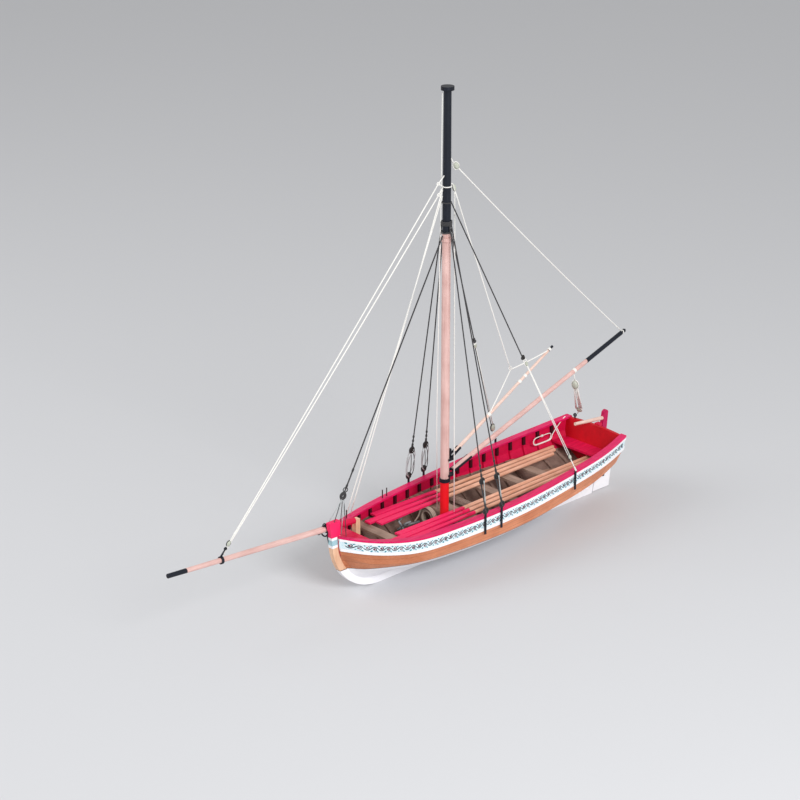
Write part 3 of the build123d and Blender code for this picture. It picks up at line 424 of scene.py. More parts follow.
def tube(points, radius, sides=8, closed=False):
    # a round skin along a line; radius is one number or one for each point
    points = [Vector(p) for p in points]
    count = len(points)
    radii = radius if isinstance(radius, (list, tuple)) else [radius] * count
    verts, rings, travelled = [], [], [0.0]
    for first, second in zip(points, points[1:]):
        travelled.append(travelled[-1] + (second - first).length)
    side = None
    for index, point in enumerate(points):
        before = points[index - 1] if index or closed else point
        after = points[(index + 1) % count] if index < count - 1 or closed else point
        direction = (after - before).normalized()
        if side is None:
            side = acrossOf(direction)[0]
        side = (side - direction * side.dot(direction)).normalized()
        other = direction.cross(side)
        rings.append(len(verts))
        for step in range(sides):
            angle = 2 * pi * step / sides
            verts.append(point + (side * cos(angle) + other * sin(angle)) * radii[index])
    faces, uvs = [], []
    for index in range(count if closed else count - 1):
        low, high = rings[index], rings[(index + 1) % count]
        start = travelled[index]
        end = travelled[index + 1] if index + 1 < count else start + (points[0] - points[-1]).length
        for step in range(sides):
            turn = (step + 1) % sides
            faces.append((low + step, low + turn, high + turn, high + step))
            v0, v1 = step / sides, (step + 1) / sides
            uvs.append(((start, v0), (start, v1), (end, v1), (end, v0)))
    if not closed:
        faces.append(tuple(reversed(range(sides))))
        uvs.append(((0, 0),) * sides)
        faces.append(tuple(rings[-1] + step for step in range(sides)))
        uvs.append(((0, 0),) * sides)
    return verts, faces, uvs


def ring(centre, axis, radius, thickness, sides=8, steps=24):
    side, other = acrossOf(axis)
    centre = Vector(centre)
    path = [centre + (side * cos(2 * pi * i / steps) + other * sin(2 * pi * i / steps)) * radius
            for i in range(steps)]
    return tube(path, thickness, sides, True)


def makePiece(name, shapes, material, body="hull", smooth=True):
    # joins shapes into one object with one finish, which rides on a body when one is given
    verts, faces, uvs = [], [], []
    for shapeVerts, shapeFaces, shapeUvs in shapes:
        start = len(verts)
        verts += [Vector(v) * metresPerMm for v in shapeVerts]
        faces += [tuple(start + i for i in face) for face in shapeFaces]
        uvs += shapeUvs
    mesh = bpy.data.meshes.new(name)
    mesh.from_pydata(verts, [], faces)
    layer = mesh.uv_layers.new(name="length")
    corner = 0
    for faceUvs in uvs:
        for pair in faceUvs:
            layer.data[corner].uv = pair
            corner += 1
    mesh.validate()
    if smooth:
        mesh.shade_smooth()
    else:
        mesh.shade_flat()
    piece = bpy.data.objects.new(name, mesh)
    bpy.context.scene.collection.objects.link(piece)
    mesh.materials.append(material)
    if body:
        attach(piece, body)
    return piece


def between(first, second, share):
    return Vector(first).lerp(Vector(second), share)


def hangingLine(start, end, sag, steps=16):
    # a light line between two points that hangs a little below the straight
    start, end = Vector(start), Vector(end)
    return [start.lerp(end, i / steps) + Vector((0, 0, -4 * sag * (i / steps) * (1 - i / steps)))
            for i in range(steps + 1)]


def bowedLine(start, end, bow, steps=8):
    # a slack lanyard that stands out sideways between its two ends
    start, end, bow = Vector(start), Vector(end), Vector(bow)
    return [start.lerp(end, i / steps) + bow * (1 - (2 * i / steps - 1) ** 4) for i in range(steps + 1)]


def seizing(start, end, radius, turns):
    # thread wound round a rope, as ridges along a short sleeve
    count = turns * 4
    points = [between(start, end, i / count) for i in range(count + 1)]
    return tube(points, [radius + 0.07 * sin(pi * (i % 4) / 2) ** 2 for i in range(count + 1)], 10)


# Blocks: two cheeks round a sheave, with a strop round the outside
blockSizes = {"long": 2.5, "wide": 1.7, "thick": 1.3, "slot": 0.35, "strop": 0.16}


def blockShapes(centre, down, across, size=1.0):
    # the cheeks and sheave, then the strop, for one block whose sheave turns about across
    down, across = Vector(down).normalized(), Vector(across)
    across = (across - down * across.dot(down)).normalized()
    wide = down.cross(across)
    centre = Vector(centre)
    wood, strop = [], []
    for sign in (-1, 1):
        rows = []
        for level, swell in ((0.0, 1.0), (0.55, 0.94), (0.9, 0.66), (1.0, 0.3)):
            depth = blockSizes["slot"] / 2 + level * (blockSizes["thick"] - blockSizes["slot"]) / 2
            rows.append([centre + size * (across * sign * depth
                                          + down * cos(2 * pi * k / 16) * blockSizes["long"] / 2 * swell
                                          + wide * sin(2 * pi * k / 16) * blockSizes["wide"] / 2 * swell)
                         for k in range(16)])
        verts = [v for row in rows for v in row]
        faces = [(r * 16 + k, r * 16 + (k + 1) % 16, (r + 1) * 16 + (k + 1) % 16, (r + 1) * 16 + k)
                 for r in range(3) for k in range(16)]
        faces += [tuple(range(16)), tuple(48 + k for k in range(16))]
        if sign < 0:
            faces = [tuple(reversed(face)) for face in faces]
        wood.append((verts, faces, [((0, 0),) * len(face) for face in faces]))
    half = size * blockSizes["slot"] / 2
    wood.append(tube([centre - across * half, centre + across * half], size * blockSizes["wide"] * 0.36, 14))
    path = [centre + size * (down * cos(2 * pi * k / 20) * (blockSizes["long"] / 2 + blockSizes["strop"])
                             + wide * sin(2 * pi * k / 20) * (blockSizes["wide"] / 2 + blockSizes["strop"]))
            for k in range(20)]
    strop.append(tube(path, size * blockSizes["strop"], 6, True))
    return wood, strop


print("making the frieze")

# Frieze: a running vine with curls, leaves and berries on the band, as thin painted relief
frieze = {"pitch": 5.2, "lift": 0.05, "line": 0.19, "curl": 0.8, "margin": 1.0, "height": 3.1}
bandBox = [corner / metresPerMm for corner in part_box("frieze_bands")]
frieze["firstX"] = bandBox[0].x + frieze["margin"]
frieze["lastX"] = bandBox[1].x - frieze["margin"]


def bandCorners(x, side, edges):
    # the band's outer upper and lower corners at x, from the frieze solid's own edges
    crossings = [a.lerp(b, (x - a.x) / (b.x - a.x)) for a, b in edges
                 if a.y * side > 0 and b.y * side > 0 and min(a.x, b.x) <= x < max(a.x, b.x)]
    top, bottom = max(p.z for p in crossings), min(p.z for p in crossings)
    upper = max((p for p in crossings if p.z > top - 0.1), key=lambda p: p.y * side)
    lower = max((p for p in crossings if p.z < bottom + 0.1), key=lambda p: p.y * side)
    return upper, lower


bandMesh = cadNodes["frieze_bands"].data
bandEdges = [tuple(bandMesh.vertices[i].co / metresPerMm for i in edge.vertices) for edge in bandMesh.edges]
bandStart = bandBox[0].x + 0.3
bandSteps = int(bandBox[1].x - bandBox[0].x - 0.6)
bandTable = {side: [bandCorners(bandStart + step, side, bandEdges) for step in range(bandSteps + 1)]
             for side in (1, -1)}


def bandSection(x, side):
    place = min(max(x - bandStart, 0.0), bandSteps - 0.001)
    step = int(place)
    here, ahead = bandTable[side][step], bandTable[side][step + 1]
    return tuple(a.lerp(b, place - step) for a, b in zip(here, ahead))


def bandPoint(x, share, side):
    # a point on the band's face, a little proud of it
    upper, lower = bandSection(x, side)
    ahead = bandSection(x + 0.6, side)[0]
    behind = bandSection(x - 0.6, side)[0]
    out = (ahead - behind).cross(upper - lower).normalized()
    out = out if out.y * side > 0 else -out
    return lower.lerp(upper, share) + out * frieze["lift"]


def ribbon(path, halfWidth, side):
    # a flat painted stroke; the path is x in millimetres and a share of the band's height
    bandHeight = frieze["height"]
    verts, faces = [], []
    for index, (x, share) in enumerate(path):
        px, ps = path[max(index - 1, 0)]
        nx, ns = path[min(index + 1, len(path) - 1)]
        dx, dz = nx - px, (ns - ps) * bandHeight
        length = hypot(dx, dz) or 1.0
        taper = 1.0 if 0 < index < len(path) - 1 else 0.45
        ox, oz = -dz / length * halfWidth * taper, dx / length * halfWidth * taper
        for sign in (-1, 1):
            verts.append(bandPoint(x + sign * ox, share + sign * oz / bandHeight, side))
    for index in range(len(path) - 1):
        face = (2 * index, 2 * index + 2, 2 * index + 3, 2 * index + 1)
        faces.append(face if side < 0 else tuple(reversed(face)))
    return verts, faces, [((0, 0),) * 4 for _ in faces]


def leaf(x, share, lengthMm, lean, side, widthMm=0.5):
    # a small pointed leaf, as a fan of quads
    path = [(x + lengthMm * t * cos(lean), share + lengthMm * t * sin(lean) / frieze["height"])
            for t in (0, 0.35, 0.7, 1.0)]
    verts, faces = [], []
    for (px, ps), swell in zip(path, (0.15, 1.0, 0.75, 0.05)):
        for sign in (-1, 1):
            offset = sign * widthMm / 2 * swell
            verts.append(bandPoint(px - offset * sin(lean), ps + offset * cos(lean) / frieze["height"], side))
    for index in range(3):
        face = (2 * index, 2 * index + 2, 2 * index + 3, 2 * index + 1)
        faces.append(face if side < 0 else tuple(reversed(face)))
    return verts, faces, [((0, 0),) * 4 for _ in faces]


vines, leaves, berries = [], [], []
for side in (1, -1):
    count = int((frieze["lastX"] - frieze["firstX"]) / frieze["pitch"])
    for index in range(count):
        x0 = frieze["firstX"] + index * frieze["pitch"] + 0.8
        wave = [(x0 + frieze["pitch"] * t / 10, 0.5 + 0.26 * sin(2 * pi * t / 10)) for t in range(11)]
        vines.append(ribbon(wave, frieze["line"], side))
        for half, up in ((0.25, -1), (0.75, 1)):
            hand = 1 + 0.3 * sin(2.3 * index + 4 * half)  # the painter's hand: no two curls are quite alike
            cx, cs = x0 + frieze["pitch"] * half, 0.5 + up * 0.1
            curl = [(cx + frieze["curl"] * (1 - t / 16) * cos(up * (pi / 2 + 2.6 * pi * t / 14)),
                     cs + frieze["curl"] * (1 - t / 16) * sin(up * (pi / 2 + 2.6 * pi * t / 14))
                     / frieze["height"])
                    for t in range(13)]
            vines.append(ribbon(curl, frieze["line"] * 0.8 * hand, side))
            leaves.append(leaf(cx + 0.75, cs + up * 0.16, 1.1 * hand, up * 0.9, side, 0.6 * hand))
            leaves.append(leaf(cx - 0.75, cs + up * 0.2, 1.0, pi - up * 0.7, side, 0.5))
            berries.append(leaf(cx - 0.28, cs, 0.6, 0.0, side, 0.55 * hand))
makePiece("frieze_vine", vines, scrollInk, smooth=False)
makePiece("frieze_leaves", leaves, scrollTeal, smooth=False)
makePiece("frieze_berries", berries, scrollRed, smooth=False)

print("rigging the shrouds and stays")

mast = {"x": 18.6}


def islands(nodeName):
    # the centres and boxes of a node's separate solids, in millimetres
    mesh = cadNodes[nodeName].data
    parent = list(range(len(mesh.vertices)))

    def rootOf(i):
        while parent[i] != i:
            parent[i] = parent[parent[i]]
            i = parent[i]
        return i

    merged = {}
    for vertex in mesh.vertices:
        key = tuple(round(c, 6) for c in vertex.co)
        parent[vertex.index] = rootOf(merged.setdefault(key, vertex.index))
    for edge in mesh.edges:
        a, b = rootOf(edge.vertices[0]), rootOf(edge.vertices[1])
        parent[a] = b
    groups = {}
    for vertex in mesh.vertices:
        groups.setdefault(rootOf(vertex.index), []).append(vertex.co / metresPerMm)
    boxes = []
    for points in groups.values():
        low = Vector(min(p[i] for p in points) for i in range(3))
        high = Vector(max(p[i] for p in points) for i in range(3))
        boxes.append((low, high))
    return sorted(boxes, key=lambda b: (b[0].y, b[0].x))


def roundPlate(radius, holes, thickness, bevel):
    # a turned disc with rounded edges and lanyard holes, from a filled curve
    curve = bpy.data.curves.new("plateOutline", "CURVE")
    curve.dimensions = "2D"
    curve.fill_mode = "BOTH"
    curve.extrude = thickness / 2 - bevel
    curve.bevel_depth = bevel
    curve.bevel_resolution = 2
    curve.offset = -bevel
    for cx, cy, r, steps in [(0, 0, radius, 28)] + [(x, y, holeRadius, 8) for x, y, holeRadius in holes]:
        spline = curve.splines.new("POLY")
        spline.points.add(steps - 1)
        for k, point in enumerate(spline.points):
            point.co = (cx + r * cos(2 * pi * k / steps), cy + r * sin(2 * pi * k / steps), 0, 1)
        spline.use_cyclic_u = True
    holder = bpy.data.objects.new("plateOutline", curve)
    mesh = bpy.data.meshes.new_from_object(holder)
    verts = [v.co.copy() for v in mesh.vertices]
    faces = [tuple(p.vertices) for p in mesh.polygons]
    bpy.data.objects.remove(holder)
    bpy.data.meshes.remove(mesh)
    return verts, faces, [((0, 0),) * len(face) for face in faces]


def placed(shape, centre, xAxis, zAxis):
    zAxis = Vector(zAxis).normalized()
    xAxis = Vector(xAxis)
    xAxis = (xAxis - zAxis * xAxis.dot(zAxis)).normalized()
    matrix = Matrix((xAxis, zAxis.cross(xAxis), zAxis)).transposed()
    verts, faces, uvs = shape
    return [matrix @ v + Vector(centre) for v in verts], faces, uvs


deadeye = {"radius": 1.3, "thickness": 1.2, "holeRing": 0.62, "hole": 0.17, "lanyard": 0.17, "strop": 0.24}
holeAngles = [radians(a) for a in (90, 210, 330)]
deadeyeHoles = [(deadeye["holeRing"] * cos(a), deadeye["holeRing"] * sin(a), deadeye["hole"])
                for a in holeAngles]
plate = roundPlate(deadeye["radius"], deadeyeHoles, deadeye["thickness"], 0.2)
discs, strops, bindings = {"lower_deadeyes": [], "upper_deadeyes": []}, [], []
paleLanyards, darkLanyards = [], []
lowerBoxes, upperBoxes = islands("lower_deadeyes"), islands("upper_deadeyes")
for (lowA, highA), (lowB, highB) in zip(lowerBoxes, upperBoxes):
    lower, upper = (lowA + highA) / 2, (lowB + highB) / 2
    rise = (upper - lower).normalized()
    for key, centre in (("lower_deadeyes", lower), ("upper_deadeyes", upper)):
        discs[key].append(placed(plate, centre, (1, 0, 0), (0, 1, 0)))
        strops.append(ring(centre, (0, 1, 0), deadeye["radius"] + deadeye["strop"] * 0.6,
                           deadeye["strop"], 6, 26))
    slack = (2.5 if lower.x > 10 else 2.0) if lower.y < 0 else 0.35  # the starboard lanyards hang open
    for k, angle in enumerate(holeAngles):
        offset = Vector((deadeye["holeRing"] * cos(angle), 0, deadeye["holeRing"] * sin(angle)))
        start = lower + Vector((offset.x, deadeye["thickness"] * 0.5 * (-1 if k % 2 else 1), -offset.z))
        end = upper + Vector((offset.x, deadeye["thickness"] * 0.5 * (1 if k % 2 else -1), -offset.z))
        for sign in (-1, 1):
            path = bowedLine(start + Vector((0.2 * sign, 0, 0)), end - Vector((0.2 * sign, 0, 0)),
                             (slack * sign * (1 - 0.25 * k), 0.15 * sign, 0))
            pale = lower.y < 0 and sign > 0 or k == 1
            (paleLanyards if pale else darkLanyards).append(tube(path, deadeye["lanyard"], 6))
    top = upper + rise * (deadeye["radius"] + 0.3)
    bindings.append(seizing(top, top + rise * 1.6, 0.42, 5))
    bindings.append(seizing(top + rise * 2.6, top + rise * 3.6, 0.42, 3))
    bindings.append(seizing(top + rise * 4.8, top + rise * 5.6, 0.42, 3))
for key, shapes in discs.items():
    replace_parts(makePiece(key + "_turned", shapes, darkDeadeye), key)
makePiece("deadeye_strops", strops, tarredCord)
makePiece("deadeye_lanyards", paleLanyards, greyCord)
makePiece("deadeye_lanyards_tarred", darkLanyards, tarredCord)
makePiece("shroud_seizings", bindings, tarredCord)

# Eyes of the shrouds round the mast at the hounds, then the stay's collar and the light ring above
mastHead = {"shroudEye": 139.5, "stayEye": 135.6, "ring": 154.7}
collars = []
for index in range(3):
    collars.append(ring((mast["x"], 0, mastHead["shroudEye"] - 0.9 + 0.6 * index), (0.06, 0, 1), 2.15, 0.3))
collars.append(ring((mast["x"], 0, mastHead["stayEye"]), (0.25, 0, 1), 2.2, 0.3))
collars.append(ring((mast["x"], 0, mastHead["shroudEye"] + 8.4), (0, 0, 1), 1.95, 0.26))
makePiece("mast_collars", collars, tarredCord)
makePiece("mast_grommet", [ring((mast["x"], 0, mastHead["ring"]), (0.04, 0.02, 1), 1.9, 0.25)], whiteCord)

# Lanyards of the forestay, from its heart down to the stem head
heart = {"x": 77.1, "z": 35.0, "radius": 1.5, "lanyard": 0.17}
stemFeet = [(84.2, -0.9, 25.2), (82.8, 0.9, 25.2), (81.2, -1.2, 24.0), (79.7, 1.2, 24.4), (77.6, -0.9, 17.4),
            (76.4, 0.9, 17.0)]
stemLines = [tube(bowedLine((heart["x"] + 0.7 - 0.28 * k, 0.35 * (-1) ** k, heart["z"] - 0.7), foot,
                            (0, 0, 0), 2), heart["lanyard"], 6) for k, foot in enumerate(stemFeet)]
makePiece("forestay_lanyards", stemLines[::2], greyCord)
makePiece("forestay_lanyards_tarred", stemLines[1::2], tarredCord)

# Irons at the stem head: an eyed band round the bowsprit and the strap that holds it to the stem
bowIrons = {"band": (84.9, -3.0, 20.6), "radius": 2.1, "bar": 0.32}
bandAt = Vector(bowIrons["band"])
makePiece("bow_irons", [
    ring(bandAt, (1, 0, 0.12), bowIrons["radius"], bowIrons["bar"], 8, 28),
    ring(bandAt + Vector((0.3, 0.4, 2.9)), (0.2, 1, 0), 0.75, 0.24, 6, 16),
    ring(bandAt + Vector((1.0, -2.3, -1.2)), (0.6, 0.4, 0.3), 0.7, 0.24, 6, 16),
    tube([bandAt + Vector(step) for step in ((-0.1, 1.6, -1.2), (-0.4, 1.7, -3.0), (-0.9, 1.75, -5.4))],
         0.3, 8),
], blackIron)
stayDirection = (Vector((20.8, 0, 134.0)) - Vector((heart["x"], 0, heart["z"]))).normalized()
heartTop = Vector((heart["x"], 0, heart["z"])) + stayDirection * 1.6
makePiece("forestay_seizings", [
    ring((heart["x"], 0, heart["z"]), (0, 1, 0), heart["radius"] + 0.15, 0.22, 6, 26),
    ring(heartTop + stayDirection * 1.1, (0.3, 1, 0), 1.0, 0.2, 6, 20),
    seizing(heartTop + stayDirection * 1.8, heartTop + stayDirection * 3.4, 0.42, 5),
    seizing(heartTop + stayDirection * 9.0, heartTop + stayDirection * 10.4, 0.42, 4),
], tarredCord)

print("running rigging")

lineRadius = 0.27
travellerTop = Vector((139.2, -3.0, 27.3))
jibStay = {"upper": (23.6, 0.1, 156.6), "lower": (23.0, -0.2, 151.8), "sag": 0.5}
makePiece("jib_stay_lines", [
    tube(hangingLine(jibStay["upper"], travellerTop, jibStay["sag"]), lineRadius, 6),
    tube(hangingLine(jibStay["lower"], travellerTop + Vector((-0.5, 0, -0.2)), jibStay["sag"]),
         lineRadius, 6),
    tube([jibStay["upper"], (mast["x"] + 1.7, 0.1, 159.4)], lineRadius, 6),
    tube([jibStay["upper"], (mast["x"] + 1.9, 0.3, mastHead["ring"])], lineRadius * 0.8, 6),
    tube([jibStay["lower"], (mast["x"] + 1.9, -0.3, mastHead["ring"])], lineRadius, 6),
    ring(jibStay["lower"], (0.3, 1, 0), 0.6, lineRadius * 0.8, 6, 14),
    ring(jibStay["upper"], (0.3, 1, 0), 0.6, lineRadius * 0.8, 6, 14),
    seizing(travellerTop + Vector((-7.8, 0.15, 8.4)), travellerTop + Vector((-6.6, 0.13, 7.1)), 0.42, 4),
], whiteCord)
jibRun = (Vector(jibStay["upper"]) - travellerTop).normalized()
jibWood, jibStrop = blockShapes(travellerTop + jibRun * 5.6, jibRun, (0.2, 1, 0), 0.9)
makePiece("jib_stay_block", jibWood, paleBlock)
makePiece("jib_stay_shackle", jibStrop + [
    tube([travellerTop + jibRun * reach for reach in (-0.9, 1.4, 4.1)], [0.42, 0.34, 0.24], 8),
    ring(travellerTop + jibRun * 3.2, (0.3, 1, 0), 0.55, 0.2, 6, 14),
], blackIron)
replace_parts(bpy.data.objects["jib_stay_lines"], "jib_stay")

railStarboard = Vector((57.0, -17.6, 15.2))
makePiece("fore_halyards", [
    tube(hangingLine((mast["x"] + 1.9, -0.6, 153.4), railStarboard, 0.5), lineRadius, 6),
    tube(hangingLine((mast["x"] + 1.7, -0.9, 150.6), railStarboard + Vector((3.4, 0.9, 0.4)), 0.5),
         lineRadius, 6),
], whiteCord)

# Peak and lift blocks on the mast's after side
peakBlock, aftBlock = Vector((13.5, 0, 162.3)), Vector((14.5, 0, 153.2))
neckPoint = Vector((-93.9, 0, 63.8))
liftDirection = (neckPoint - peakBlock).normalized()
gaffPoint = Vector((-21.0, 0, 64.6))
blocks, blockStrops = blockShapes(peakBlock, liftDirection, (0.2, 1, 0.1), 1.4)
moreWood, moreStrops = blockShapes(aftBlock, (gaffPoint - aftBlock), (0.75, -0.65, 0), 1.2)
blocks += moreWood
blockStrops += moreStrops
blockStrops.append(tube([peakBlock - liftDirection * 1.7, (mast["x"] - 2.4, 0.5, 164.9),
                         (mast["x"] - 1.5, 0.4, 166.6)], 0.34, 6))
# a spare halyard down the mast's fore side, made fast at its thwart
spareHalyard = [(1.5, -1.4, 193.5), (1.6, -1.6, 155.0), (1.9, -2.3, 100.0), (1.8, -3.2, 50.0),
                (0.5, -3.9, 9.7)]
blockStrops.append(tube([(mast["x"] + ahead, y, z) for ahead, y, z in spareHalyard], 0.2, 6))
blockStrops.append(tube([aftBlock + Vector((0.5, 0, 1.5)), (mast["x"] - 1.9, 0, 155.6)], 0.25, 6))
makePiece("mast_blocks", blocks, paleBlock)
makePiece("mast_block_strops", blockStrops, whiteCord)

gaffTip = Vector((-45.2, 0, 67.5))
gaffMid = Vector((-8.0, 0, 47.2))


def bridgingLine(name, paths, radius):
    # a line from the hull to a swinging spar, made on no body and with its transform applied to its points
    piece = makePiece(name, [tube(path, radius, 6) for path in paths], whiteCord, None)
    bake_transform(piece)
    return piece


liftTop = peakBlock + liftDirection * 1.4
toppingLift = bridgingLine("topping_lift_line", [hangingLine(liftTop, neckPoint, 1.0, 24)], lineRadius)
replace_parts(toppingLift, "topping_lift")
makePiece("topping_lift_eye", [ring(neckPoint, (1, 0, 0.33), 0.72, 0.2)], whiteCord, "boom")
bridgingLine("peak_halyard", [
    hangingLine(aftBlock + (gaffPoint - aftBlock).normalized() * 1.4, gaffPoint, 0.4, 20),
], lineRadius)
makePiece("gaff_bridle", [
    tube(hangingLine(gaffPoint, gaffTip, 0.3), lineRadius, 6),
    tube(hangingLine(gaffPoint, gaffMid, 0.2), lineRadius, 6),
    ring(gaffPoint + Vector((0.2, 0, 0.7)), (0.2, 1, 0), 0.75, 0.2),
    seizing((-45.0, 0, 67.4), (-46.0, 0, 67.95), 0.72, 3),
    seizing((-7.4, 0, 46.9), (-8.6, 0, 47.55), 0.92, 4),
    seizing((-26.2, 0, 57.15), (-27.3, 0, 57.75), 0.84, 4),
    seizing((-29.6, 0, 59.0), (-30.7, 0, 59.6), 0.82, 4),
], whiteCord, "gaff")
makePiece("throat_halyard", [
    tube(hangingLine((mast["x"] - 3.9, 0.6, 151.6), (mast["x"] - 0.6, 5.3, 9.8), 0.0, 4), 0.24, 6),
], whiteCord)

# Running backstays: falls below the pendants' blocks, belayed at the plates on each rail
railPlate = {"x": -37.7, "y": 24.6, "z": 19.8}
falls, darkFalls, stayBlocks, lowBlocks, stayStrops = [], [], [], [], []
for side in (1, -1):
    head = Vector((mast["x"] - 0.6, side * 2.1, 148.0))
    foot = Vector((railPlate["x"], side * railPlate["y"], railPlate["z"]))
    run = (foot - head).normalized()
    upperBlock = head.lerp(foot, 0.56)
    wood, strop = blockShapes(upperBlock, run, (0, 1, 0.2), 0.8)
    stayBlocks += wood
    stayStrops += strop
    lowerBlock = head.lerp(foot, 0.945)
    wood, strop = blockShapes(lowerBlock, run, (0, 1, 0.2), 0.9 if side > 0 else 1.4)
    lowBlocks += wood
    wood, whiteStrop = blockShapes(upperBlock + run * 3.4, run, (0, 1, 0.2), 0.9)
    lowBlocks += wood
    falls += whiteStrop
    stayStrops += strop
    falls.append(ring(upperBlock + run * 1.7, (0.2, 1, 0), 0.7, 0.22, 6, 16))
    for shift, cords in ((-0.5, falls), (0.5, falls if side > 0 else darkFalls)):
        cords.append(tube([upperBlock + run * 4.4 + Vector((shift * 0.3, 0, 0)), lowerBlock - run * 1.2
                           + Vector((shift, 0, 0))], 0.22, 6))
    falls.append(tube([lowerBlock + run * 1.2, foot], 0.24, 6))
    falls.append(seizing(foot - run * 1.8, foot, 0.36, 5))
makePiece("backstay_falls", falls, whiteCord)
makePiece("backstay_falls_tarred", darkFalls, tarredCord)
makePiece("backstay_block_cheeks", stayBlocks, darkDeadeye)
makePiece("backstay_low_blocks", lowBlocks, paleBlock)
makePiece("backstay_block_strops", stayStrops, tarredCord)

# Main sheet: a strop on the boom, two blocks and the parts between them
sheet = {"boom": (-62.2, 0, 51.4), "upper": (-63.8, -0.6, 46.0), "lower": (-77.9, -10.3, 27.4),
         "eye": (-79.0, -12.4, 24.6), "spread": 0.9, "rope": 0.4}
upper, lower, eye = Vector(sheet["upper"]), Vector(sheet["lower"]), Vector(sheet["eye"])
sheetRun = (lower - upper).normalized()
woodUpper, stropUpper = blockShapes(upper, (0.15, 0, 1), (1, 0.4, 0), 1.6)
makePiece("sheet_block_upper", woodUpper, paleBlock, "boom")
makePiece("sheet_strop_upper", stropUpper + [
    tube([upper + Vector((0.2, 0, 1.7)), sheet["boom"]], 0.24, 6),
    seizing((-61.6, 0, 53.05), (-62.8, 0, 53.45), 1.16, 4),
], whiteCord, "boom")
woodLower, stropLower = blockShapes(lower, sheetRun, (1, 0.4, 0), 1.35)
makePiece("sheet_block_lower", woodLower, paleBlock)
makePiece("sheet_strop_lower", stropLower + [tube([lower + sheetRun * 1.7, eye], 0.24, 6)], whiteCord)
sheetSide = sheetRun.cross(Vector((0, 0, 1))).normalized() * sheet["spread"]
bridgingLine("main_sheet", [
    [upper + sheetRun * 1.2 + sheetSide * 0.7, lower - sheetRun * 1.2 + sheetSide * 1.3],
    [upper + sheetRun * 1.2 - sheetSide * 0.7, lower - sheetRun * 1.2 - sheetSide * 1.5],
    [upper + sheetRun * 1.2, lower - sheetRun * 1.2 + sheetSide * 0.3],
], sheet["rope"])

print("cords that lie loose in the boat")


def cordCurve(name, points, diameter, material):
    # one smooth line through the route's points, as thick as the cord
    curve = bpy.data.curves.new(name, "CURVE")
    curve.dimensions = "3D"
    curve.bevel_depth = diameter / 2 * metresPerMm
    curve.bevel_resolution = 2
    curve.use_fill_caps = True
    spline = curve.splines.new("NURBS")
    spline.points.add(len(points) - 1)
    for point, place in zip(spline.points, points):
        point.co = (*(Vector(place) * metresPerMm), 1)
    spline.order_u = 3
    spline.use_endpoint_u = True
    spline.resolution_u = 4
    piece = bpy.data.objects.new(name, curve)
    bpy.context.scene.collection.objects.link(piece)
    curve.materials.append(material)
    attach(piece, "hull")
    return piece


def lengthOf(piece):
    # the length of a cord's own line, in millimetres
    curve = piece.data.copy()
    curve.bevel_depth = 0.0
    holder = bpy.data.objects.new("cordLine", curve)
    line = bpy.data.meshes.new_from_object(holder)
    ends = [[line.vertices[i].co for i in edge.vertices] for edge in line.edges]
    total = sum((a - b).length for a, b in ends)
    bpy.data.objects.remove(holder)
    bpy.data.meshes.remove(line)
    return total / metresPerMm


# The anchor warp, coiled at the mast thwart's fore edge. It starts at the grapnel's ring, and its last
# end is made fast in the thwart.
warp = {"centre": (21.0, -7.5, 5.6), "diameter": 0.62, "rows": (4.45, 3.72, 3.0), "across": 3, "pitch": 0.72,
        "perTurn": 14, "uneven": 0.09}
cx, cy, cz = warp["centre"]
warpPoints = [(24.6, -12.3, 2.9), (23.8, -12.3, 3.4), (23.0, -12.2, 4.2)]
turnCount = warp["across"] * len(warp["rows"])
for step in range(turnCount * warp["perTurn"] + 1):
    turn = step / warp["perTurn"]
    row = min(int(turn / warp["across"]), len(warp["rows"]) - 1)
    within = turn - row * warp["across"]
    ahead = warp["rows"][min(row + 1, len(warp["rows"]) - 1)]
    radius = warp["rows"][row] + (ahead - warp["rows"][row]) * max(0.0, within - warp["across"] + 0.5) * 2
    sweep = within if row % 2 == 0 else warp["across"] - within
    angle = pi - 2 * pi * turn
    warpPoints.append((cx + warp["pitch"] * (warp["across"] / 2 - sweep),
                       cy + (radius + warp["uneven"] * sin(9 * turn)) * cos(angle),
                       cz + (radius + warp["uneven"] * sin(7 * turn)) * sin(angle)))
warpPoints += [(19.6, -10.3, 7.2), (19.2, -9.9, 8.6), (18.2, -9.7, 9.7)]
anchorWarp = cordCurve("anchor_warp_cord", warpPoints, warp["diameter"], hempCord)
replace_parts(anchorWarp, "anchor_warp")
lengthOf(anchorWarp) * metresPerMm

# The sheet's tail: it comes over the rail at the starboard quarter and is made up as a long open hank
hank = {"centre": (-61.0, -17.2, 15.5), "length": 12.0, "height": 3.7, "diameter": 0.44, "turns": 2,
        "step": 0.6}
hankPoints = [(-75.3, -16.4, 22.9), (-74.6, -16.4, 22.7), (-72.3, -16.7, 20.7), (-70.0, -17.0, 18.5)]
cx, cy, cz = hank["centre"]
half = hank["length"] / 2 - hank["height"] / 2
loop = [(-half - 2.1, 0.25), (-half - 1.9, -0.5), (-half - 0.8, -0.95), (-half * 0.6, -1.0), (0, -1.0),
        (half * 0.6, -1.0), (half + 0.7, -0.96), (half + 1.8, -0.6), (half + 2.1, 0.0), (half + 1.8, 0.6),
        (half + 0.7, 0.96), (half * 0.6, 1.0), (0, 1.0), (-half * 0.6, 1.0), (-half - 0.7, 0.96),
        (-half - 1.8, 0.7)]
for index in range(len(loop) * hank["turns"] - 3):
    share = index / len(loop)
    x, z = loop[index % len(loop)]
    reach = 1.0 - 0.07 * share
    hankPoints.append((cx + x * reach, cy + 0.3 - hank["step"] * share * 0.5,
                       cz + z * hank["height"] / 2 * reach))
sheetHank = cordCurve("sheet_hank_cord", hankPoints, hank["diameter"], whiteCord)
knotAt = Vector(hankPoints[-1])
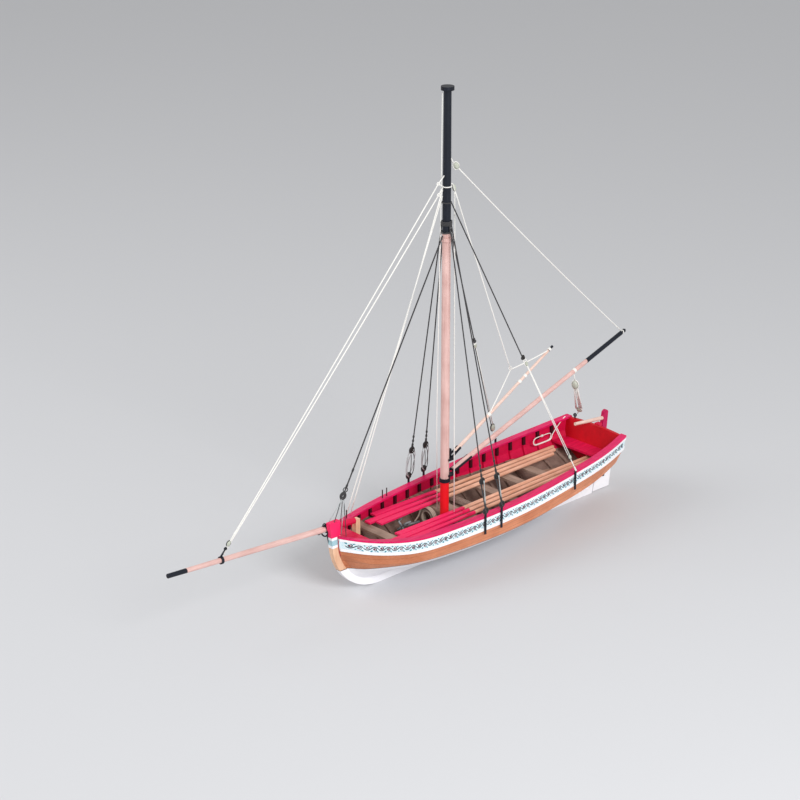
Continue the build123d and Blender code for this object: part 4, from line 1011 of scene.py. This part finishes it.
hankKnot = makePiece("sheet_hank_knot", [
    ring(knotAt + Vector((0.25, 0.1, -0.02)), (1, 0, 0.1), 0.42, 0.17, 6, 14),
    ring(knotAt + Vector((-0.15, 0.1, 0.02)), (1, 0, -0.2), 0.42, 0.17, 6, 14),
], whiteCord)
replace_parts(sheetHank, "sheet_hank")
lengthOf(sheetHank) * metresPerMm

print("floor, lamps and camera")

floorHeight = -9.85
floorHalf = 3000.0
floorMesh = bpy.data.meshes.new("studioFloor")
floorMesh.from_pydata([Vector((x * floorHalf, y * floorHalf, floorHeight)) * metresPerMm
                       for x, y in ((-1, -1), (1, -1), (1, 1), (-1, 1))], [], [(0, 1, 2, 3)])
floor = bpy.data.objects.new("studioFloor", floorMesh)
bpy.context.scene.collection.objects.link(floor)
floorMaterial, _, floorShader, _ = startMaterial("paleBackdropPaper", 0.9)
floorShader.inputs["Base Color"].default_value = toLinear("#cfd0d3")
floorMesh.materials.append(floorMaterial)

world = bpy.data.worlds.new("studio")
bpy.context.scene.world = world
world.use_nodes = True
world.node_tree.nodes["Background"].inputs[0].default_value = (1, 1, 1, 1)
world.node_tree.nodes["Background"].inputs[1].default_value = 0.6


def addLamp(name, place, target, sizeMm, power):
    light = bpy.data.lights.new(name, "AREA")
    light.shape = "DISK"
    light.size = sizeMm * metresPerMm
    light.energy = power
    lamp = bpy.data.objects.new(name, light)
    bpy.context.scene.collection.objects.link(lamp)
    place = Vector(place) * metresPerMm
    lamp.location = place
    lamp.rotation_euler = (Vector(target) * metresPerMm - place).to_track_quat("-Z", "Y").to_euler()


addLamp("keyLamp", (250, 900, 620), (0, 0, 20), 500, 8.0)
addLamp("fillLamp", (700, -500, 600), (0, 0, 20), 600, 3.0)

camera = {"azimuth": 136.39, "elevation": 21.56, "distance": 1000.0, "right": -32.52, "up": 52.26,
          "focalPixels": 2292.68, "imagePixels": 800}
azimuth, elevation = radians(camera["azimuth"]), radians(camera["elevation"])
back = Vector((sin(azimuth) * cos(elevation), -cos(azimuth) * cos(elevation), sin(elevation)))
right = Vector((cos(azimuth), sin(azimuth), 0))
up = back.cross(right)
lens = bpy.data.cameras.new("camera")
lens.sensor_width = 36.0
lens.lens = camera["focalPixels"] * lens.sensor_width / camera["imagePixels"]
lens.clip_start = 0.01
viewer = bpy.data.objects.new("camera", lens)
bpy.context.scene.collection.objects.link(viewer)
turnMatrix = Matrix((right, up, back)).transposed().to_4x4()
eyePlace = back * camera["distance"] + right * camera["right"] + up * camera["up"]
viewer.matrix_world = Matrix.Translation(eyePlace * metresPerMm) @ turnMatrix
bpy.context.scene.camera = viewer
bpy.context.scene.view_settings.view_transform = "Standard"

print("finishing")
